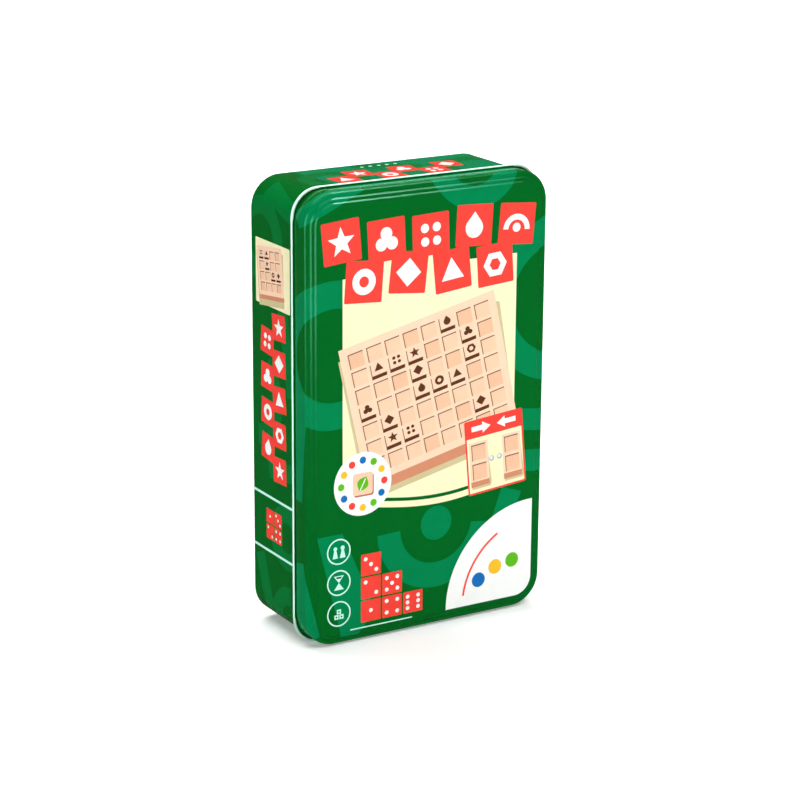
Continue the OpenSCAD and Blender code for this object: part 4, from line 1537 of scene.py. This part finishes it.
# ------------------------------------------------------------------ materials
class Nodes:
    """Short hand for node trees: new nodes, links and plain values."""

    def __init__(self, name):
        self.mat = bpy.data.materials.new(name)
        self.mat.use_nodes = True
        self.t = self.mat.node_tree
        self.b = self.t.nodes["Principled BSDF"]

    def new(self, kind, **kw):
        n = self.t.nodes.new("ShaderNode" + kind)
        for k, v in kw.items():
            if isinstance(k, str) and k in n.inputs and not hasattr(n, k):
                self.set(n.inputs[k], v)
            else:
                setattr(n, k, v)
        return n

    def set(self, sock, v):
        if isinstance(v, bpy.types.NodeSocket):
            self.t.links.new(v, sock)
        else:
            sock.default_value = v

    def coords(self, scale=(1, 1, 1), rot=(0, 0, 0), loc=(0, 0, 0)):
        c = self.new("TexCoord")
        m = self.new("Mapping")
        m.inputs["Scale"].default_value = scale
        m.inputs["Rotation"].default_value = rot
        m.inputs["Location"].default_value = loc
        self.t.links.new(c.outputs["Object"], m.inputs["Vector"])
        return m.outputs["Vector"]

    def noise(self, vec, scale, detail=2.0, rough=0.5, distort=0.0):
        n = self.new("TexNoise")
        self.t.links.new(vec, n.inputs["Vector"])
        n.inputs["Scale"].default_value = scale
        n.inputs["Detail"].default_value = detail
        n.inputs["Roughness"].default_value = rough
        n.inputs["Distortion"].default_value = distort
        return n.outputs["Fac"]

    def ramp(self, fac, lo, hi, a=0.0, b=1.0):
        n = self.new("MapRange")
        n.clamp = True
        self.set(n.inputs["Value"], fac)
        for k, v in (("From Min", lo), ("From Max", hi), ("To Min", a), ("To Max", b)):
            n.inputs[k].default_value = v
        return n.outputs["Result"]

    def math(self, op, a, b=0.0):
        n = self.new("Math", operation=op)
        self.set(n.inputs[0], a)
        self.set(n.inputs[1], b)
        return n.outputs[0]

    def mix(self, fac, a, b, blend="MIX"):
        n = self.new("Mix", data_type="RGBA", blend_type=blend)
        self.set(n.inputs["Factor"], fac)
        self.set(n.inputs[6], a if isinstance(a, bpy.types.NodeSocket) else (*a, 1))
        self.set(n.inputs[7], b if isinstance(b, bpy.types.NodeSocket) else (*b, 1))
        return n.outputs[2]

    def bump(self, height, strength, dist, after=None):
        n = self.new("Bump")
        n.inputs["Strength"].default_value = strength
        n.inputs["Distance"].default_value = dist
        self.set(n.inputs["Height"], height)
        if after is not None:
            self.t.links.new(after, n.inputs["Normal"])
        return n.outputs["Normal"]

    def put(self, **kw):
        for k, v in kw.items():
            self.set(self.b.inputs[k.replace("_", " ")], v)
        return self.mat


def enamel_mat():
    """Lacquer printed on tinplate: gloss coat, faint orange peel, slight
    unevenness of the ink, small scuffs."""
    N = Nodes("printed_enamel")
    att = N.new("Attribute")
    att.attribute_name = "print"
    v = N.coords()
    ink = N.noise(v, 160.0, 3.0, 0.6)
    grain = N.noise(v, 2600.0, 1.0, 0.5)
    shade = N.math("ADD", N.ramp(ink, 0.3, 0.7, 0.965, 1.02), N.ramp(grain, 0.35, 0.65, -0.012, 0.012))
    col = N.mix(1.0, att.outputs["Color"], shade, "MULTIPLY")
    # fine rubbed marks in the coat
    sv = N.coords((1.0, 1.0, 14.0), (0.0, 0.5, 0.35))
    scuff = N.noise(sv, 420.0, 4.0, 0.7)
    patch = N.noise(v, 34.0, 2.0, 0.5)
    rub = N.math("MULTIPLY", N.ramp(scuff, 0.62, 0.78), N.ramp(patch, 0.5, 0.7))
    rough = N.math("ADD", N.ramp(patch, 0.25, 0.75, 0.13, 0.18), N.math("MULTIPLY", rub, 0.11))
    peel = N.bump(N.noise(v, 520.0, 1.5, 0.5), 0.16, 0.00005)
    wave = N.bump(N.noise(v, 26.0, 1.0, 0.4), 0.10, 0.0010, peel)
    N.put(Base_Color=col, Roughness=rough, Normal=wave)
    N.b.inputs["IOR"].default_value = 1.45
    N.b.inputs["Specular IOR Level"].default_value = 0.2
    N.b.inputs["Specular Tint"].default_value = (0.3, 1.0, 0.8, 1.0)
    return N.mat


def tin_mat(name="bare_tinplate", base=(0.80, 0.815, 0.80), rough0=0.2, metal=0.8):
    """Bright rolled tinplate: rolling lines one way, faint mottle, scuffs."""
    N = Nodes(name)
    v = N.coords()
    roll = N.noise(N.coords((60.0, 60.0, 1.0)), 24.0, 5.0, 0.65)
    mott = N.noise(v, 60.0, 3.0, 0.55)
    sv = N.coords((1.0, 1.0, 10.0), (0.3, 0.9, 0.2))
    scr = N.ramp(N.noise(sv, 330.0, 4.0, 0.6), 0.56, 0.8)
    k = N.math("ADD", N.ramp(mott, 0.3, 0.7, 0.94, 1.0), N.ramp(roll, 0.3, 0.7, -0.03, 0.03))
    col = N.mix(1.0, tuple(base), k, "MULTIPLY")
    rough = N.math("ADD", N.ramp(mott, 0.3, 0.7, rough0, rough0 + 0.12), N.math("MULTIPLY", scr, 0.05))
    nrm = N.bump(roll, 0.05, 0.00006)
    N.put(Base_Color=col, Roughness=rough, Normal=nrm)
    N.b.inputs["Metallic"].default_value = metal
    return N.mat


def wood_mat(name, light, dark, along, tone=False, fine=1.0, gloss=0.42):
    """Sanded pale hardwood: growth bands, fibres and short rays that run
    along one axis (0, 1 or 2), under a thin matt varnish."""
    N = Nodes(name)

    def axis(long, cross):
        return tuple(long if i == along else cross for i in range(3))
    band_at = N.coords(axis(0.10, 1.0), (0.05, 0.04, 0.09))
    warp = N.noise(N.coords(axis(0.5, 1.0)), 38.0 * fine, 2.0, 0.5)
    band = N.noise(band_at, 150.0 * fine, 3.0, 0.55, 0.6)
    fibre = N.noise(N.coords(axis(0.035, 1.0)), 1500.0 * fine, 3.0, 0.65)
    ray = N.noise(N.coords(axis(0.22, 1.0)), 1700.0 * fine, 1.0, 0.5)
    big = N.math("ADD", N.math("MULTIPLY", N.ramp(band, 0.3, 0.7), 0.6), N.math("MULTIPLY", N.ramp(warp, 0.3, 0.7), 0.4))
    col = N.mix(big, light, dark)
    k = N.math("ADD", N.ramp(fibre, 0.3, 0.72, 1.04, 0.86), N.ramp(ray, 0.64, 0.78, 0.0, -0.16))
    col = N.mix(1.0, col, k, "MULTIPLY")
    if tone:
        att = N.new("Attribute")
        att.attribute_name = "print"
        col = N.mix(1.0, col, att.outputs["Color"], "MULTIPLY")
    rough = N.math("ADD", N.ramp(fibre, 0.3, 0.7, gloss, gloss + 0.1), N.ramp(ray, 0.62, 0.8, 0.0, 0.1))
    h = N.math("SUBTRACT", N.math("MULTIPLY", fibre, 0.5), N.ramp(ray, 0.64, 0.8, 0.0, 0.6))
    N.put(Base_Color=col, Roughness=rough, Normal=N.bump(h, 0.22, 0.00007))
    N.b.inputs["IOR"].default_value = 1.45
    N.b.inputs["Specular IOR Level"].default_value = 0.4
    return N.mat


def sheet_mat():
    """Vacuum-formed off-white sheet: soft gloss, faint flow marks and dust."""
    N = Nodes("formed_sheet")
    v = N.coords()
    cloud = N.noise(v, 22.0, 3.0, 0.55)
    speck = N.ramp(N.noise(v, 900.0, 2.0, 0.6), 0.70, 0.78)
    col = N.mix(N.ramp(cloud, 0.3, 0.7), (0.80, 0.79, 0.745), (0.86, 0.855, 0.82))
    col = N.mix(N.math("MULTIPLY", speck, 0.12), col, (0.55, 0.53, 0.48))
    pull = N.noise(N.coords((1.0, 1.0, 0.25)), 85.0, 2.0, 0.5)
    rough = N.math("ADD", N.ramp(cloud, 0.3, 0.7, 0.30, 0.40), N.math("MULTIPLY", speck, 0.15))
    n = N.bump(N.noise(v, 700.0, 2.0, 0.5), 0.10, 0.00005)
    N.put(Base_Color=col, Roughness=rough, Normal=N.bump(pull, 0.10, 0.0006, n))
    N.b.inputs["IOR"].default_value = 1.52
    return N.mat


def paper_mat():
    """Uncoated paper with ink in it: fibres, faint patchy yellowing."""
    N = Nodes("leaflet_stock")
    att = N.new("Attribute")
    att.attribute_name = "print"
    v = N.coords()
    fib = N.noise(N.coords((1.0, 1.0, 0.4)), 1900.0, 4.0, 0.7)
    age = N.noise(v, 30.0, 2.0, 0.5)
    k = N.math("ADD", N.ramp(fib, 0.3, 0.7, 0.95, 1.01), N.ramp(age, 0.35, 0.7, 0.0, -0.05))
    col = N.mix(1.0, att.outputs["Color"], k, "MULTIPLY")
    col = N.mix(N.ramp(age, 0.35, 0.75, 0.0, 0.35), col, N.mix(1.0, col, (1.0, 0.955, 0.83), "MULTIPLY"))
    n = N.bump(fib, 0.25, 0.00004)
    N.put(Base_Color=col, Roughness=N.ramp(fib, 0.3, 0.7, 0.72, 0.88), Normal=N.bump(age, 0.25, 0.0012, n))
    N.b.inputs["Specular IOR Level"].default_value = 0.25
    return N.mat


def nickel_mat():
    """Nickel plating on small discs: soft grain, fine rubbed marks."""
    N = Nodes("nickel_plate")
    v = N.coords()
    g = N.noise(v, 1400.0, 3.0, 0.6)
    s = N.ramp(N.noise(N.coords((1.0, 8.0, 1.0), (0.4, 0.2, 0.9)), 900.0, 3.0, 0.7), 0.6, 0.75)
    col = N.mix(N.ramp(g, 0.3, 0.7), (0.70, 0.69, 0.66), (0.78, 0.77, 0.75))
    rough = N.math("ADD", N.ramp(g, 0.3, 0.7, 0.14, 0.24), N.math("MULTIPLY", s, 0.2))
    N.put(Base_Color=col, Roughness=rough, Normal=N.bump(g, 0.05, 0.00004))
    N.b.inputs["Metallic"].default_value = 1.0
    return N.mat


ENAMEL = enamel_mat()
TIN = tin_mat(rough0=0.3, metal=0.72)
# the curl's bare tin is given a mint-green tint: painted reflection of the green lacquer beside it
CURL_TIN = tin_mat("curled_tinplate_edge", (0.56, 0.74, 0.66), 0.66, 0.85)
BASE_TIN = tin_mat("rolled_tinplate_base", (0.78, 0.795, 0.785), 0.36, 0.62)
BEECH = wood_mat("sanded_beech", (0.70, 0.45, 0.25), (0.58, 0.335, 0.165), 2)
RACK_BEECH = wood_mat("rack_beech", (0.69, 0.43, 0.235), (0.55, 0.31, 0.15), 2, fine=1.15, gloss=0.38)
MAPLE = wood_mat("tile_maple", (0.78, 0.55, 0.33), (0.68, 0.44, 0.24), 0, True, 1.3, 0.45)
FORMED = sheet_mat()
PAPER = paper_mat()
NICKEL = nickel_mat()


# --------------------------------------------- camera, floor and studio light
def camera():
    yaw, pitch, roll, f = 0.54214, 0.28802, 0.00637, 2511.13
    C = np.array([-0.52167, -0.86664, 0.39420])
    fw = np.array([math.sin(yaw) * math.cos(pitch), math.cos(yaw) * math.cos(pitch), -math.sin(pitch)])
    rt = np.array([math.cos(yaw), -math.sin(yaw), 0])
    up = np.cross(rt, fw)
    rt2 = math.cos(roll) * rt + math.sin(roll) * up
    up2 = -math.sin(roll) * rt + math.cos(roll) * up
    cam = bpy.data.cameras.new("camera")
    ob = bpy.data.objects.new("camera", cam)
    scene.collection.objects.link(ob)
    cam.sensor_width = 36.0
    cam.lens = 36.0 * f / 800
    cam.clip_start, cam.clip_end = 0.01, 20
    ob.matrix_world = Matrix(((rt2[0], up2[0], -fw[0], C[0]), (rt2[1], up2[1], -fw[1], C[1]),
                              (rt2[2], up2[2], -fw[2], C[2]), (0, 0, 0, 1)))
    scene.camera = ob


def area(name, loc, target, size, power, color=(1, 1, 1), shape="RECTANGLE", size_y=None):
    L = bpy.data.lights.new(name, "AREA")
    L.shape, L.size, L.energy, L.color = shape, size, power, color
    if size_y:
        L.size_y = size_y
    o = bpy.data.objects.new(name, L)
    scene.collection.objects.link(o)
    o.location = loc
    o.rotation_mode = "QUATERNION"
    o.rotation_quaternion = (Vector(target) - Vector(loc)).to_track_quat("-Z", "Y")
    return o


def revolved(name, prof, seg=72):
    """Surface of revolution about Z from (radius, height) pairs."""
    me = bpy.data.meshes.new(name)
    pts, faces, ring = [], [], []
    for r, z in prof:
        ring.append(len(pts))
        pts += [(r * math.cos(2 * PI * i / seg), r * math.sin(2 * PI * i / seg), z) for i in range(seg if r else 1)]
    for k in range(len(prof) - 1):
        a, b = ring[k], ring[k + 1]
        for i in range(seg):
            j = (i + 1) % seg
            faces.append((a, b + i, b + j) if prof[k][0] == 0 else (a + i, b + i, b + j, a + j))
    me.from_pydata(pts, [], faces)
    me.polygons.foreach_set("use_smooth", [True] * len(faces))
    ob = bpy.data.objects.new(name, me)
    scene.collection.objects.link(ob)
    ob.visible_glossy = False
    return ob


def stage():
    # round pale floor that meets a white sweep all round; it glows faintly near the middle and fully at its rim,
    # painted light that lifts the object's cast shadow
    floor = revolved("floor", [(0, 0), (0.5, 0), (1.2, 0), (2.4, 0)])
    N = Nodes("studio_floor")
    v = N.coords()
    k = N.ramp(N.noise(v, 3.0, 2.0), 0.3, 0.7, 0.99, 1.0)
    away = N.new("VectorMath")
    away.operation = "LENGTH"
    N.set(away.inputs[0], v)
    # the floor's own emission fills in the shadow under the tin: painted light
    N.put(Base_Color=N.mix(1.0, (0.93, 0.93, 0.93), k, "MULTIPLY"),
          Emission_Strength=N.ramp(away.outputs["Value"], 0.7, 1.8, 0.27, 1.0))
    N.b.inputs["Roughness"].default_value = 0.9
    N.b.inputs["Specular IOR Level"].default_value = 0.1
    N.b.inputs["Emission Color"].default_value = (1.0, 1.0, 1.0, 1.0)
    floor.data.materials.append(N.mat)
    sweep_up = revolved("backdrop", [(2.4, 0)] + [(2.4 + 3 * math.sin(a), 3 - 3 * math.cos(a))
                                                 for a in np.linspace(0.1, PI / 2, 10)] + [(5.4, 9.0)])
    sweep_up.visible_diffuse = sweep_up.visible_shadow = False
    N = Nodes("studio_backdrop")
    N.put(Base_Color=N.mix(1.0, (0.93, 0.93, 0.93), N.ramp(N.noise(N.coords(), 2.0, 2.0), 0.3, 0.7, 0.99, 1.0), "MULTIPLY"))
    N.b.inputs["Roughness"].default_value = 1.0
    N.b.inputs["Emission Color"].default_value = (1.0, 1.0, 1.0, 1.0)
    N.b.inputs["Emission Strength"].default_value = 1.0
    sweep_up.data.materials.append(N.mat)
    w = bpy.data.worlds.new("studio")
    scene.world = w
    w.use_nodes = True
    # soft surroundings in front of the object, darker behind it
    t = w.node_tree
    tc, sep, ramp = (t.nodes.new("ShaderNode" + k) for k in ("TexCoord", "SeparateXYZ", "MapRange"))
    t.links.new(tc.outputs["Generated"], sep.inputs[0])
    t.links.new(sep.outputs["Y"], ramp.inputs["Value"])
    for k, v in (("From Min", -0.2), ("From Max", 0.6), ("To Min", 0.22), ("To Max", 0.06)):
        ramp.inputs[k].default_value = v
    bg = t.nodes["Background"]
    bg.inputs["Color"].default_value = (0.95, 1.0, 0.98, 1)
    t.links.new(ramp.outputs["Result"], bg.inputs["Strength"])
    t = (0, 0, 0.1)
    area("key", (0.1, -1.25, 1.9), t, 1.9, 34, size_y=1.4)
    area("ground_wash", (0.0, 1.1, 2.2), (0, 0.8, 0), 2.6, 66, size_y=1.5)
    glint = area("edge_glint", (0.76, -0.4, 1.7), (0, 0, 0.19), 0.24, 19, size_y=0.35)
    card = area("edge_card", (-1.1, -0.66, 0.22), t, 0.9, 34, size_y=0.9)
    for o in (glint, card):
        o.visible_diffuse = False
    scene.view_settings.view_transform = "Standard"
    scene.view_settings.look = "None"
    scene.view_settings.exposure = 0.0
    scene.view_settings.gamma = 1.0


# ------------------------------------------------------------------- assembly
camera()
stage()
lid = make_lid([ENAMEL, TIN, CURL_TIN], face_print(), INK["green"])
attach(lid, "lid")
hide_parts("lid_shell")
body = make_body([ENAMEL, TIN], wall_print(), INK["green"])
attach(body, "case")
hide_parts("body_wall")
base = make_base([BASE_TIN])
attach(base, "case")
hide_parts("base_plate")
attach(make_insert([FORMED]), "insert")
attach(make_leaflet([PAPER]), "leaflet")
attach(make_panel("board_panel_left", 2, (1,), [BEECH]), "panel_left")
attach(make_panel("board_panel_middle", 1, (-1, 1), [BEECH]), "panel_middle")
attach(make_panel("board_panel_right", 0, (-1,), [BEECH]), "panel_right")
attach(make_magnets("magnets_left", 2, 1, [NICKEL]), "panel_left")
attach(make_magnets("magnets_middle_a", 1, -1, [NICKEL]), "panel_middle")
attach(make_magnets("magnets_middle_b", 1, 1, [NICKEL]), "panel_middle")
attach(make_magnets("magnets_right", 0, -1, [NICKEL]), "panel_right")
for i in range(4):
    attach(make_rack("tile_rack_%d" % (i + 1), i, [RACK_BEECH]), "rack_%d" % (i + 1))
for r in range(4):
    for c in range(3):
        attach(make_tiles("tiles_%d%s" % (r + 1, "abc"[c]), r, c, [MAPLE]), "tile_row_%d" % (r + 1))
